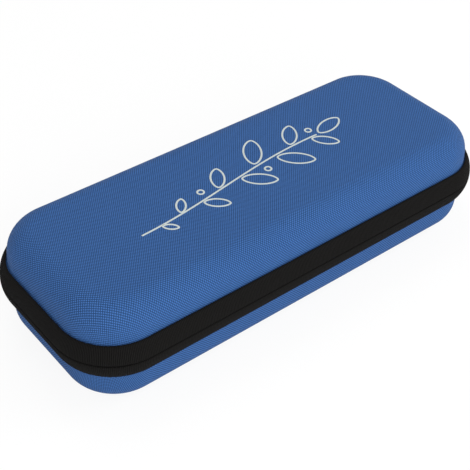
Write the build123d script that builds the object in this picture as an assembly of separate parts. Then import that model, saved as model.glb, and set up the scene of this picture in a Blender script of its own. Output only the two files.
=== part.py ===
from build123d import *

import math
import os

# A zipped hard case for a stethoscope: two moulded foam shells, a coil zip round three sides with
# two sliders, a fabric hinge on the fourth side, a net pocket in the lid and a holding strap in
# the base.
#
# Millimetres. +X runs along the case, +Y points to the hinge and +Z up. The origin is the middle
# of the flat underside. Each half is built with its parting plane at z = 0 and its shell below it,
# and is then lifted into the base's place or turned over into the lid's. "Inward" positions are
# measured from the zip line, which is the case's widest outline, towards the inside.

# ---- The whole case ----
case_length = 280.0  # over the zip line
case_width = 113.0
base_depth = 33.5  # underside to parting plane
lid_depth = 28.5  # parting plane to top
corner_radius = 34.0  # in plan, at the zip line

# ---- The moulded shells, each one laminate of woven face, foam and knit lining ----
shell_inset = 5.0  # how far the wall's top stands inside the zip line
shell_thickness = 4.0
shell_draft = 3.0  # degrees
edge_radius = 14.0  # round the bottom and the top
outer_strips = 6  # flat strips that follow the rounded edge, outside
inner_strips = 4  # and inside
rim_thickness = 3.0  # the pressed rim under the zip tape
rim_clearance = 0.4  # between the binding on the rim and the sliders
groove_height = 1.2  # where the tape leaves the rim, beside the wall
floor_lap = 0.5  # from the end of the rounded edge to the start of the flat floor

# ---- The edge binding ----
binding_thickness = 0.8
binding_reach = 7.0  # how far the binding runs down inside the wall

# ---- The zip tapes and the hinge gusset ----
band_half = 10.2  # visible height of each tape
band_bulge = 3.2  # how far the tapes bow out towards the parting line
bow_strips = 3  # flat strips that follow the bow, from the parting line to the tape's edge
tape_thickness = 0.9
tape_slit = 0.3  # between the two tapes when closed
gusset_length = 130.0
gusset_ease = 0.3  # between the gusset and the lid's rim

# ---- The zip coil ----
coil_pitch = 6.0
tooth_width = 1.6
tooth_reach = 0.75  # past the parting plane, between the other row's teeth
tooth_inset = 0.25  # a tooth is this much thinner than the bead, on both faces
tooth_root = 0.2  # how deep a tooth is sunk in the bead
bead_near = 0.95  # parting plane to the bead
bead_far = 3.0
coil_thickness = 2.1
stop_length = 2.6

# ---- The sliders ----
slider_length = 11.0
slider_flare = 0.6  # how much wider the head is than the tail, on each side
slider_plate = 1.2
slider_bevel = 0.35
slider_flange = 0.9
slider_clearance = 0.25
slider_spacing = 13.0  # between the two sliders' centres
slider_travel = 9.5  # along the straight part of the end
post_length = 3.0
post_width = 3.0
post_setback = 1.0  # from the slider's head to its post
spread_taper = 7.0  # length over which the spread tapes close again
bail_bar = 1.1  # the bail's square section
bail_span = 7.0
bail_gap = 1.7  # room for the pull's eye under the bail

# ---- The pulls ----
eye_wall = 0.9
eye_clearance = 0.25
eye_width = 1.6
link_length = 6.0
grip_length = 20.0
grip_width = 6.5
grip_tip_width = 4.6
grip_thickness = 2.6
grip_lap = 2.0  # how far the grip is moulded over the link

# ---- The net pocket in the lid ----
net_thickness = 0.8
net_depth = 62.0  # from the hinge wall towards the front
net_cell = 14.0
net_strand = 2.2
net_margin = 4.0
elastic_width = 9.0
elastic_thickness = 1.6

# ---- The holding strap in the base ----
strap_width = 25.0
strap_thickness = 1.2
strap_hinge = 20.0  # from the middle back to the seam that the strap lifts on
strap_length = 36.0  # from the seam to the free end
strap_ease = 0.3  # between the strap and what it lies on
strap_step = 3.0  # length of its step up onto the patch
tab_length = 8.0  # the strap's sewn end, behind the seam
patch_thickness = 0.9
hook_patch_length = 14.0
loop_patch_length = 24.0
patch_margin = 1.0  # from the edges of the strap to its hook patch

# ---- Worked out from the sizes above ----
half_length = case_length / 2
half_width = case_width / 2
straight_x = case_length - 2 * corner_radius
straight_y = case_width - 2 * corner_radius
draft_slope = math.tan(math.radians(shell_draft))
bow_radius = (band_half**2 + band_bulge**2) / (2 * band_bulge)
parting = base_depth
floor = shell_thickness


def bow(z, depth=0.0):
    """How far inward a surface of the bowed tape lies at height z, at that depth in the tape.

    The bow is an arc that flat strips follow, with their joins on the arc.
    """
    strip_height = band_half / bow_strips
    strip = min(int(abs(z) / strip_height), bow_strips - 1)
    start, end = (
        bow_radius - math.sqrt((bow_radius - depth) ** 2 - (join * strip_height) ** 2)
        for join in (strip, strip + 1)
    )
    return start + (end - start) * (abs(z) / strip_height - strip)


def bow_heights(low, high):
    """The heights at which a bowed surface turns, between two heights that it starts and ends at."""
    joins = [join * band_half / bow_strips for join in range(1 - bow_strips, bow_strips)]
    return [low, *(join for join in joins if low < join < high), high]


coil_outer = bow(bead_far, tape_thickness)  # the coil is sewn to the tape's inner face
coil_inner = coil_outer + coil_thickness
coil_middle = (coil_outer + coil_inner) / 2
slider_tail = bead_far + slider_clearance + slider_flange  # half the width of its tail
slider_head = slider_tail + slider_flare
rim_gap = slider_head + rim_clearance + binding_thickness  # parting plane to each rim's edge
rim_outside = bow(rim_gap, tape_thickness)
rim_inside = rim_outside + rim_thickness
wall_inside = shell_inset + shell_thickness  # at the top of the wall
binding_foot = rim_gap + binding_reach  # parting plane to the binding's lower edge
parked_half = slider_spacing / 2 + slider_length / 2  # from the middle to a parked slider's tail
parked_post = parked_half - slider_length + post_setback + post_length
spread_half = parked_post + slider_travel + slider_clearance
spread_height = post_width + 2 * slider_clearance


def draw_in(z):
    """How much further inward the drafted wall is at height z than at its top."""
    return draft_slope * (-band_half - z)


def plan(inset, z):
    """The case's rounded outline, drawn in by inset, as a face at height z."""
    length = case_length - 2 * inset
    width = case_width - 2 * inset
    return Plane.XY.offset(z) * RectangleRounded(length, width, corner_radius - inset)


def outline(*points):
    """A closed polygon as a face."""
    return make_face(Polyline(*points, close=True))


# ---- The zip line: straight sides joined by quarter turns, anticlockwise from the gusset ----

back_run = (straight_x - gusset_length) / 2
SIDES = [  # each with its start, heading, length and the centre of the turn that follows it
    ((-gusset_length / 2, half_width), (-1, 0), back_run, (-straight_x / 2, straight_y / 2)),
    ((-half_length, straight_y / 2), (0, -1), straight_y, (-straight_x / 2, -straight_y / 2)),
    ((-straight_x / 2, -half_width), (1, 0), straight_x, (straight_x / 2, -straight_y / 2)),
    ((half_length, -straight_y / 2), (0, 1), straight_y, (straight_x / 2, straight_y / 2)),
    ((straight_x / 2, half_width), (-1, 0), back_run, None),
]
GUSSET_START = (gusset_length / 2, half_width)
turn_length = corner_radius * math.pi / 2


def section_plane(point, heading):
    """A cross-section's plane there: its x is inward, its y up and its normal along the run."""
    inward = (-heading[1], heading[0], 0)
    return Plane(origin=(*point, 0), x_dir=inward, z_dir=(*heading, 0))


def run_round(section, back=False):
    """A cross-section carried round the zipped sides and, if asked, along the gusset too."""
    pieces = []
    for start, heading, length, centre in SIDES:
        pieces.append(extrude(section_plane(start, heading) * section, amount=length))
        if centre:
            end = (start[0] + heading[0] * length, start[1] + heading[1] * length)
            turn = Axis((*centre, 0), (0, 0, 1))
            pieces.append(revolve(section_plane(end, heading) * section, turn, 90))
    if back:
        pieces.append(extrude(section_plane(GUSSET_START, (-1, 0)) * section, amount=gusset_length))
    return pieces[0].fuse(*pieces[1:]).clean()


def along(distance):
    """The point on the zip line at that distance from the gusset, and its heading in radians."""
    for start, heading, length, centre in SIDES:
        angle = math.atan2(heading[1], heading[0])
        if distance <= length or centre is None:
            return (start[0] + heading[0] * distance, start[1] + heading[1] * distance), angle
        distance -= length
        if distance <= turn_length:
            angle += distance / corner_radius
            reach = angle - math.pi / 2
            x = centre[0] + corner_radius * math.cos(reach)
            y = centre[1] + corner_radius * math.sin(reach)
            return (x, y), angle
        distance -= turn_length


def bowed_section(low, high, thickness):
    """A slice of the bowed tape between two heights."""
    heights = bow_heights(low, high)
    return outline(
        *((bow(z), z) for z in heights),
        *((bow(z, thickness), z) for z in reversed(heights)),
    )


# ---- The pieces of one half, with the parting plane at z = 0 ----


def rim_points():
    """The pressed rim that carries the tape: it bows out with the tape and ends below the coil."""
    seat = band_half - groove_height
    return [
        (rim_inside, -rim_gap),
        *((bow(z, tape_thickness), z) for z in reversed(bow_heights(-seat, -rim_gap))),
    ]


def wall_points(inset, bottom, radius, strips):
    """The drafted wall, from its top at that inset, and the rounded edge down to the floor."""
    lean = math.radians(shell_draft)
    level = bottom + radius
    centre = inset + draw_in(level) + radius / math.cos(lean)
    points = [(inset, -band_half)]
    for number in range(strips + 1):
        angle = math.pi + lean + (math.pi / 2 - lean) * number / strips
        points.append((centre + radius * math.cos(angle), level + radius * math.sin(angle)))
    return points


def moulding(outside, inside, top):
    """A tray between two wall profiles, closed along its top by those points."""
    edge = max(outside[-1][0], inside[-1][0]) + floor_lap
    low, high = outside[-1][1], inside[-1][1]
    section = outline(*outside, (edge, low), (edge, high), *reversed(inside), *top)
    plate = extrude(plan(edge, low), amount=high - low, dir=(0, 0, 1))
    return run_round(section, back=True).fuse(plate).clean()


def shell(depth):
    """The moulded foam half with its bonded woven face and its pressed rim."""
    return moulding(
        wall_points(shell_inset, -depth, edge_radius, outer_strips),
        wall_points(
            wall_inside, shell_thickness - depth, edge_radius - shell_thickness, inner_strips
        ),
        rim_points(),
    )


def binding_section():
    """The folded tape over the rim's raw edge, sewn down inside the wall."""
    lip = rim_outside + binding_thickness / 2
    foot_inside = wall_inside + draw_in(-binding_foot)
    return outline(
        (lip, -rim_gap),
        (rim_inside, -rim_gap),
        (wall_inside, -band_half),
        (foot_inside, -binding_foot),
        (foot_inside + binding_thickness, -binding_foot),
        (wall_inside + binding_thickness, -band_half),
        (rim_inside + binding_thickness, binding_thickness - rim_gap),
        (lip, binding_thickness - rim_gap),
    )


def binding():
    return run_round(binding_section(), back=True)


def zip_tape():
    """One tape, with its edge spread where the sliders' posts stand between the two tapes."""
    section = bowed_section(-band_half, -tape_slit / 2, tape_thickness)
    tip = spread_half + spread_taper
    half = spread_height / 2
    opening = outline(
        (-tip, 0),
        (-spread_half, half),
        (spread_half, half),
        (tip, 0),
        (spread_half, -half),
        (-spread_half, -half),
    )
    facing = Plane(origin=(half_length, 0, 0), x_dir=(0, 1, 0), z_dir=(1, 0, 0))
    return run_round(section) - extrude(facing * opening, amount=corner_radius / 4, both=True)


def zip_coil(shift, parted):
    """One row of the chain: a bead along the tape's edge and the teeth that stand on it.

    Where the posts run between the rows the teeth are left out. The base's bead passes the posts
    drawn in. The lid's is parted there, so that the lid lifts with the sliders parked.
    """
    bead = run_round(
        Pos(coil_middle, -(bead_near + bead_far) / 2) * Rectangle(coil_thickness, bead_far - bead_near)
    )
    height = 2 * slider_head if parted else spread_height
    gaps = [Pos(half_length, 0, 0) * Box(corner_radius / 2, 2 * spread_half, height)]
    for side in (-1, 1):
        end = Pos(side * (gusset_length + stop_length) / 2, half_width, 0)
        gaps.append(end * Box(stop_length, corner_radius / 2, 3 * bead_far))
    bead = bead - gaps

    clear = stop_length + tooth_width
    total = sum(side[2] for side in SIDES) + 4 * turn_length
    count = int((total - 2 * clear) / coil_pitch - shift) + 1
    rise = bead_near + tooth_root + tooth_reach
    tooth = Box(tooth_width, coil_thickness - 2 * tooth_inset, rise)
    teeth = []
    for number in range(count):
        (x, y), angle = along(clear + (number + shift) * coil_pitch)
        if x > half_length - tooth_width and abs(y) < spread_half + tooth_width:
            continue
        x -= math.sin(angle) * coil_middle
        y += math.cos(angle) * coil_middle
        teeth.append(Pos(x, y, tooth_reach - rise / 2) * Rot(0, 0, math.degrees(angle)) * tooth)
    return bead.fuse(*teeth)


def zip_stops():
    """The crimps that close the two ends of a coil row, beside the hinge gusset."""
    height = bead_far - tape_slit / 2
    block = Box(stop_length, coil_thickness, height)
    block = chamfer(block.edges().filter_by(Axis.X), coil_thickness / 6)
    level = -(bead_far + tape_slit / 2) / 2
    x = (gusset_length + stop_length) / 2
    return [Pos(side * x, half_width - coil_middle, level) * block for side in (-1, 1)]


# ---- The hinge gusset, which crosses the parting plane ----


def hinge_gusset():
    """The woven strip that joins the two rims along the back, in one piece."""
    lower = bowed_section(-band_half, 0.0, tape_thickness)
    upper = bowed_section(0.0, band_half, tape_thickness - gusset_ease)
    plane = section_plane(GUSSET_START, (-1, 0))
    strips = [extrude(plane * section, amount=gusset_length) for section in (lower, upper)]
    return Pos(0, 0, parting) * strips[0].fuse(strips[1])


# ---- The net pocket: it lies on the lid binding's lower edge and is sewn to it ----

pocket_front = half_width - wall_inside - net_depth
net_inset = wall_inside + draw_in(-binding_foot - net_thickness)


def pocket_net():
    """The net panel: one sheet with a staggered grid of open cells."""
    whole = plan(net_inset, 0)
    keep = Pos(0, pocket_front + case_width / 2) * Rectangle(case_length, case_width)
    sheet = whole & keep
    half = net_cell / 2
    pitch = net_cell + net_strand
    cells = plan(net_inset + net_margin + half, 0).face()
    back = half_width - net_inset - net_margin - half
    lowest = pocket_front + elastic_width + half
    holes = []
    for row in range(int((back - lowest) / (pitch / 2)) + 1):
        y = back - row * pitch / 2
        reach = int(half_length / pitch)
        for column in range(-reach, reach + 1):
            x = (column + (row % 2) / 2) * pitch
            if cells.is_inside((x, y, 0)):
                corners = [(x - half, y, 0), (x, y - half, 0), (x + half, y, 0), (x, y + half, 0)]
                holes.append(Wire.make_polygon(corners, close=True))
    net = extrude(Face(sheet.face().outer_wire(), holes), amount=net_thickness, dir=(0, 0, 1))
    return Pos(0, 0, parting + binding_foot) * net


def pocket_elastic():
    """The elastic along the pocket's mouth, under the net's front edge."""
    inset = net_inset + binding_thickness + slider_clearance
    keep = Pos(0, pocket_front + elastic_width / 2) * Rectangle(case_length, elastic_width)
    bar = extrude(plan(inset, 0) & keep, amount=elastic_thickness, dir=(0, 0, 1))
    bar = fillet(bar.edges().filter_by(Axis.X).group_by(Axis.Z)[0], elastic_thickness / 3)
    return Pos(0, 0, parting + binding_foot - elastic_thickness) * bar


# ---- The holding strap, on the base's floor ----

strap_low = floor + strap_ease
hook_low = floor + patch_thickness + strap_ease
strap_high = hook_low + patch_thickness
strap_pivot = strap_low + strap_thickness / 2
free_end = strap_hinge - strap_length


def rounded_patch(start, length, width, level, thickness):
    """A flat sewn patch, with its corners rounded, that starts at that y and runs back."""
    patch = Box(width, length, thickness, align=(Align.CENTER, Align.MIN, Align.MIN))
    patch = chamfer(patch.edges().filter_by(Axis.Z), strap_width / 12)
    return Pos(0, start, level) * patch


def strap():
    """The strap: it lifts about its seam and steps up over the loop patch."""
    half = strap_thickness / 2
    patch_edge = free_end + patch_margin + hook_patch_length
    step = patch_edge + patch_margin
    side = outline(
        (strap_hinge, strap_low),
        (strap_hinge, strap_low + strap_thickness),
        (step + strap_step, strap_low + strap_thickness),
        (step, strap_high + strap_thickness),
        (free_end, strap_high + strap_thickness),
        (free_end, strap_high),
        (step - half, strap_high),
        (step + strap_step - half, strap_low),
    )
    side += Pos(strap_hinge, strap_pivot) * Circle(half)
    facing = Plane(origin=(-strap_width / 2, 0, 0), x_dir=(0, 1, 0), z_dir=(1, 0, 0))
    band = extrude(facing * side, amount=strap_width)
    corners = band.edges().filter_by(Axis.Z).group_by(Axis.Y)[0]
    return chamfer(corners, strap_width / 8)


def strap_tab():
    """The strap's sewn end, on the floor behind the seam."""
    start = strap_hinge + strap_thickness / 2 + strap_ease
    return rounded_patch(start, tab_length, strap_width, floor, strap_thickness)


def hook_patch():
    """The hook tape under the strap's free end."""
    width = strap_width - 2 * patch_margin
    return rounded_patch(free_end + patch_margin, hook_patch_length, width, hook_low, patch_thickness)


def loop_patch():
    """The loop tape that is sewn flat on the floor, under and in front of the hook tape."""
    start = free_end + patch_margin + hook_patch_length - loop_patch_length
    return rounded_patch(start, loop_patch_length, strap_width, floor, patch_thickness)


# ---- Sliders and pulls, built with x towards the head, y outward and z across the tapes ----

plate_inner_face = -slider_clearance  # inward positions
plate_outer_face = plate_inner_face - slider_plate
inner_plate_face = coil_inner + slider_clearance
bail_centre = plate_outer_face - bail_gap - bail_bar / 2
eye_inner = bail_bar / math.sqrt(2) + eye_clearance
eye_outer = eye_inner + eye_wall


def slider_plate_solid(inward):
    """A slider plate seen from outside, broad at the head, whose outer face is at that place."""
    end = slider_length / 2
    facing = Plane(origin=(0, -inward, 0), x_dir=(1, 0, 0), z_dir=(0, -1, 0))
    face = outline(
        (end, -slider_head * 0.7),
        (end, slider_head * 0.7),
        (end - slider_head * 0.5, slider_head),
        (slider_tail * 0.4 - end, slider_tail),
        (-end, slider_tail * 0.6),
        (-end, -slider_tail * 0.6),
        (slider_tail * 0.4 - end, -slider_tail),
        (end - slider_head * 0.5, -slider_head),
    )
    return extrude(facing * face, amount=slider_plate)


def slider_flange_solid(side):
    """The flange that closes the channel on one side, from the inner plate to the tape."""
    front = slider_length / 2 - slider_head * 0.5
    back = slider_tail * 0.4 - slider_length / 2
    strip = outline(
        (front, side * slider_head),
        (back, side * slider_tail),
        (back, side * (slider_tail - slider_flange)),
        (front, side * (slider_head - slider_flange)),
    )
    top = bow(slider_head, tape_thickness) + slider_clearance
    facing = Plane(origin=(0, -top, 0), x_dir=(1, 0, 0), z_dir=(0, -1, 0))
    return extrude(facing * strip, amount=inner_plate_face + slider_plate / 2 - top)


def slider_bail():
    """The bridge on the outer plate that the pull hangs on, with its shoulders sloped."""
    foot = -plate_outer_face - slider_plate / 2
    crown = -bail_centre + bail_bar / 2
    half = bail_span / 2
    arch = outline(
        (-half, foot),
        (-half, crown - bail_bar),
        (bail_bar - half, crown),
        (half - bail_bar, crown),
        (half, crown - bail_bar),
        (half, foot),
    )
    inside = half - bail_bar
    arch -= outline(
        (-inside, foot),
        (-inside, crown - bail_bar),
        (inside, crown - bail_bar),
        (inside, foot),
    )
    return Pos(0, 0, -bail_bar / 2) * extrude(arch, amount=bail_bar)


def slider_body():
    """A coil slider: two plates, the post between them, flanges over the coil and the bail."""
    outer = slider_plate_solid(plate_outer_face)
    outer = chamfer(outer.faces().sort_by(Axis.Y)[-1].edges(), slider_bevel)
    inner = slider_plate_solid(inner_plate_face)
    post_place = slider_length / 2 - post_setback - post_length / 2
    post_middle = (inner_plate_face + plate_inner_face) / 2
    post_height = inner_plate_face - plate_inner_face + slider_plate
    post = Pos(post_place, -post_middle, 0) * Box(post_length, post_height, post_width)
    post = chamfer(post.edges().filter_by(Axis.Y), post_width / 4)
    flanges = [slider_flange_solid(side) for side in (-1, 1)]
    return outer.fuse(inner, post, *flanges, slider_bail()).clean()


def pull_link():
    """The link that hangs on the bail: an eye round the wire and a flat tongue below it."""
    facing = Plane(origin=(-eye_width / 2, -bail_centre, 0), x_dir=(0, 1, 0), z_dir=(1, 0, 0))
    tongue = Pos(0, -link_length / 2) * Rectangle(2 * eye_wall, link_length)
    side = Circle(eye_outer) + tongue - Circle(eye_inner)
    return extrude(facing * side, amount=eye_width)


def pull_grip():
    """The moulded grip on the link's tongue, waisted towards its tip."""
    top = grip_lap - link_length
    bottom = top - grip_length
    half_top = grip_tip_width / 2
    half_bottom = grip_width / 2
    swell = bottom + half_bottom
    waist = (half_top * 0.86, (top + swell) / 2)
    face = make_face(
        [
            Line((-half_top, top), (half_top, top)),
            Spline((half_top, top), waist, (half_bottom, swell)),
            ThreePointArc((half_bottom, swell), (0, bottom), (-half_bottom, swell)),
            Spline((-half_bottom, swell), (-waist[0], waist[1]), (-half_top, top)),
        ]
    )
    facing = Plane(origin=(0, -bail_centre + grip_thickness / 2, 0), x_dir=(1, 0, 0), z_dir=(0, -1, 0))
    grip = extrude(facing * face, amount=grip_thickness)
    return grip - Pos(0, -bail_centre, top) * Box(eye_width, 2 * eye_wall, 2 * grip_lap)


def on_end(piece, side):
    """A slider's piece at its parked place on the right end, with its head to the other slider."""
    if side < 0:
        piece = mirror(piece, about=Plane.YZ)
    return Pos(half_length, side * slider_spacing / 2, parting) * Rot(0, 0, -90) * piece


# ---- Placing and writing ----


def in_base(piece):
    return Pos(0, 0, parting) * piece


def in_lid(piece):
    return Pos(0, 0, parting) * mirror(piece, about=Plane.XY)


def half_nodes(name, place, depth, shift, parted):
    """The nodes of one half, each set in its place."""
    return {
        f"{name}_shell": place(shell(depth)),
        f"{name}_binding": place(binding()),
        f"{name}_zip_tape": place(zip_tape()),
        f"{name}_zip_coil": place(zip_coil(shift, parted)),
        f"{name}_zip_stops": Compound([place(stop) for stop in zip_stops()]),
    }


def build():
    nodes = half_nodes("base", in_base, base_depth, 0.0, False)
    nodes |= half_nodes("lid", in_lid, lid_depth, 0.5, True)
    nodes["hinge_gusset"] = hinge_gusset()
    nodes["pocket_net"] = pocket_net()
    nodes["pocket_elastic"] = pocket_elastic()
    nodes["strap"] = strap()
    nodes["strap_tab"] = strap_tab()
    nodes["hook_patch"] = hook_patch()
    nodes["loop_patch"] = loop_patch()
    for name, side in (("rear", 1), ("front", -1)):
        nodes[f"{name}_slider"] = on_end(slider_body(), side)
        nodes[f"{name}_pull_link"] = on_end(pull_link(), side)
        nodes[f"{name}_pull_grip"] = on_end(pull_grip(), side)
    return nodes


def main():
    os.makedirs("parts", exist_ok=True)
    for name, shape in build().items():
        export_step(shape, f"parts/{name}.step")


main()
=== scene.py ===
"""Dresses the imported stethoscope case: woven shells, zip chain, sliders, net pocket and strap.

Lengths are in millimetres, in the CAD model's frame, until make_mesh turns them into metres. A
section is a row of (inward, up) points: inward from the zip line, which is the case's widest
outline, and up from the parting line. The lid's sections are the base's, flipped.
"""

import math

import bmesh
import bpy
import numpy as np
from bpy.props import FloatProperty, FloatVectorProperty, PointerProperty
from mathutils import Matrix, Vector


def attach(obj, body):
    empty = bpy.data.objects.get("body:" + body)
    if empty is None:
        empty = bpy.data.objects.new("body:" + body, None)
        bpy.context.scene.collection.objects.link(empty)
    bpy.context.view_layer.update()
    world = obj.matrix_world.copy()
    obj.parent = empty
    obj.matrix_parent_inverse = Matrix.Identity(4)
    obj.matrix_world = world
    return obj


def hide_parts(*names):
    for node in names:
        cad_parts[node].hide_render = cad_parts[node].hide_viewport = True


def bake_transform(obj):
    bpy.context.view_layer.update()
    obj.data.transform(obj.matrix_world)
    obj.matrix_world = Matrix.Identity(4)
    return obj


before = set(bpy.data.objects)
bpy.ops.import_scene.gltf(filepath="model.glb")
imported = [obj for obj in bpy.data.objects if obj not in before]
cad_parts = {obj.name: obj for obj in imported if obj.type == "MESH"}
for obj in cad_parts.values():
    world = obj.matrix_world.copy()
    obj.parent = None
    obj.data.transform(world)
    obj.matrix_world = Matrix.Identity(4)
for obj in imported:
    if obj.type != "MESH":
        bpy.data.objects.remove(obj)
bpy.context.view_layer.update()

bl_info = {
    "name": "Zipped hard case",
    "version": (1, 0, 0),
    "blender": (4, 5, 0),
    "location": "View3D > Sidebar > Hard case",
    "description": "Builds the fabric, zip and fittings of a zipped hard case on its CAD frame",
    "category": "Add Mesh",
}

MM = 0.001
MERGED = 2e-6  # points nearer than this become one, in metres
HALVES = (("base", False), ("lid", True))  # each body, and whether its sections are flipped

# ---- Sizes that follow the CAD model: the case and its shells ----
HALF_LENGTH = 140.0
HALF_WIDTH = 56.5
CORNER = 34.0  # radius in plan, at the zip line
FLAT_X = HALF_LENGTH - CORNER  # where the straight sides end
FLAT_Y = HALF_WIDTH - CORNER
PARTING = 33.5  # height of the parting line
DEPTHS = {"base": 33.5, "lid": 28.5}  # from the parting line to the flat middle
SHELL_INSET = 5.0  # from the zip line to the top of the wall
SHELL_THICKNESS = 4.0
WALL_INSIDE = SHELL_INSET + SHELL_THICKNESS
LEAN = 3.0  # the walls' draft, in degrees
DRAFT = math.tan(math.radians(LEAN))
EDGE_RADIUS = 14.0  # round the bottom and the top
RIM_THICKNESS = 3.0  # the pressed rim behind the tape
RIM_GAP = 5.95  # from the parting line to the rim's edge
GROOVE = 1.2  # height of the groove where the tape leaves the wall
SLOT = 1.15  # how far up the groove the woven face turns in

# ---- The band: the zip tapes, and the hinge gusset that carries on from them ----
BAND_HALF = 10.2
BULGE = 3.2  # how far the band bows out
BOW_RADIUS = (BAND_HALF**2 + BULGE**2) / (2 * BULGE)
TAPE_THICKNESS = 0.9
TAPE_SLIT = 0.32  # from the parting line to each tape's edge
TAPE_EDGE = 0.45  # how far the rounding of an edge reaches
TAPE_PARTS = 10  # strips that follow the bow
GUSSET_HALF = 65.0
GUSSET_THICKNESS = 0.6
FOLD = 1.2  # half of the strip where the gusset folds, which is divided finely
SPREAD_HALF = 14.75  # the tapes stand apart up to here, on both sides of the end's middle
SPREAD_TIP = SPREAD_HALF + 7.0  # and are together again from here
SPREAD_HEIGHT = 1.75  # each tape's edge moves this far
RIB_ROUNDNESS = 0.6  # below 1, it widens a rib's crown and narrows the valley
BINDING = 0.8  # thickness of the folded tape
BINDING_FOOT = 12.95  # from the parting line to the binding's lower edge
BINDING_SEAM = -11.6  # height of its stitches, from the parting line
BINDING_PARTS = (106, 24, 24)  # divisions of a long side, an end and a corner

# ---- The zip coils and their stops ----
COIL_INNER = 3.27  # inward side of the coils
COIL_THICKNESS = 2.1
COIL_MIDDLE = COIL_INNER - COIL_THICKNESS / 2
COIL_FOOT = -3.0  # height of a turn's foot, from the parting line
COIL_HEAD = 0.72  # and of its head, which is past that line
COIL_SQUEEZE = 0.66  # the share of its height that a turn loses where the tapes stand apart
COIL_HOLD = 2.98  # the depth at which a squeezed turn stays in place
CORE_LEVEL = -2.2  # height of the cord inside the turns
CORE_RADIUS = 0.42
STOP_LENGTH = 2.6
STOP_HALF = 1.05  # half of its thickness
CRIMPS = (-1.1, -2.0)  # heights of the two ridges across a stop
CRIMP_RADIUS = 0.16

# ---- The sliders and pulls ----
SLIDER_OFFSET = 6.5  # from the middle of the end to a parked slider's middle
SLIDER_LENGTH = 11.0
SLIDER_TAIL = 4.15  # half of its width at the tail
SLIDER_HEAD = 4.75
PLATE = 1.2  # thickness
PLATE_FOOT = 0.25  # outward from the zip line to the outer plate
PLATE_TOP = 1.45  # and to its top
CROWN = 0.16  # height of the raised middle of the outer plate
CROWN_INSET = 1.3
INNER_PLATE = COIL_INNER + 0.25  # inward from the zip line to the inner plate
FLANGE = 0.85  # thickness
FLANGE_TOP = -1.95  # outward from the zip line to its edge
POST = 3.0  # length of its sides
POST_BACK = 2.5  # from the head's end to the post's middle
BAIL_CENTRE = 3.7  # outward from the zip line to the bar that the pull hangs on
BAIL_BAR = 1.1  # its thickness
BAIL_SPAN = 7.0  # length of the bail, over its outside
BAIL_FOOT = 0.95  # radius of the boss at each end of the bail
EYE_INNER = 1.03  # radii of the link's eye
EYE_OUTER = 1.9
LINK_HALF = 0.78  # half of the link's thickness
GRIP_TOP = -4.0  # heights of the grip's ends, from the parting line
GRIP_END = -24.0
GRIP_TIP = 3.25  # length of the rounded end
GRIP_HALF = 2.3  # half of its width at the top
GRIP_WAIST = 0.33  # how much narrower it is below that
GRIP_FLARE = 0.9  # and how much wider at the end
GRIP_THICK = 1.05
GRIP_BARS = (-10.5, -20.5, 1.7)  # where the raised bars start and end, and their pitch
GRIP_BAR = 0.2  # how high they are

# ---- The net pocket ----
NET_LEVEL = 46.65  # height of the net
NET_FRONT = -14.5  # where its open edge lies
NET_START = NET_FRONT + 1.5  # and its first row of cells
NET_INSET = WALL_INSIDE + DRAFT * (BINDING_FOOT + 0.8 - BAND_HALF)
NET_PITCH = 2.6
NET_HOLE = 1.8
NET_THICKNESS = 0.35
NET_MARGIN = 0.6  # what is left free beside the outermost cells
NET_REACH = 70.0  # rows are laid this deep, and then cut to the pocket's outline
HEM = 4.0
HEM_THICKNESS = 0.7
SEAM_LEVEL = NET_LEVEL - 0.36  # height of the hem's stitches
ELASTIC = 9.0  # width
ELASTIC_LEVELS = (44.95, 46.35)  # heights of its two sides
ELASTIC_STEP = 0.45  # between its stations
GATHER = 0.10  # the share of its thickness that each pucker takes
UNEVEN = 0.05  # and by how much that changes along it

# ---- The holding strap ----
FLOOR = 4.0  # height of the lining's floor
STRAP_WIDTH = 25.0
STRAP_THICKNESS = 1.2
STRAP_SEAM = 20.0  # where the sewn end stops and the free part begins
STRAP_LOW = 4.3  # underside of the strap between its seam and its patch
STRAP_HIGH = 6.1  # and over the patch
STRAP_STEP = (3.2, 0.0)  # where it begins to rise to that, and where it is up
STRAP_END = -16.0  # tip of the free part
TAB_END = 28.9  # end of the sewn part
STRAP_SIDE = 0.4  # rounding of the strap's sides
STRAP_ROUNDING = (3.0, 0.6)  # how much narrower its free end and its sewn end are
STRAP_TIP = 3.5  # the length over which they narrow
STRAP_RIB = 0.06  # how far a rib stands up
STRAP_RIB_PITCH = 1.2
TAB_BOX = (9.5, 22.2, 27.6)  # each seam's half width, and where it starts and ends
PATCH_BOX = (9.8, -2.4, -13.6)
LOOP_BOX = (11.4, -2.1, -23.9)
HOOK_PATCH = (11.5, -15.0, -1.0, 2.0)  # half width, start, end and rounding
LOOP_PATCH = (STRAP_WIDTH / 2, -25.0, -1.0, 2.0)
HOOK_LOW = 5.55  # underside of the hook tape
HOOK_ROWS = ((-10.6, 10.7), (-14.1, -1.7))  # what the hooks cover, across and along
HOOK_PITCH = 1.06
HOOK_PIN = (0.1, 0.34, 0.17)  # radius, height and radius of the head
LOOP_TOP = 4.82  # upper side of the loop tape

# ---- Sewing ----
STITCH_PITCH = 3.0
STITCH = (2.3, 0.2)  # length and thread radius on the binding and the hem
STRAP_STITCH_PITCH = 2.6
STRAP_STITCH = (2.0, 0.17)

# ---- The lay of the cloth on the shells ----
SHELL_PARTS = (72, 16, 20)  # divisions of a long side, an end and a corner
CLOTH_LEAN = 2.5  # how far the cloth was laid off the case's own axis, in degrees
CLOTH_STRETCH = 1.05  # how far pressing pulled it out across the case, and in along it
WALL_STRETCH = 1.1  # how far it was drawn down over the walls
LINING = 0.25  # how far the knit stands off the foam
LINING_ROOT = 0.3  # how deep the lining's back is in the foam

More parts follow.
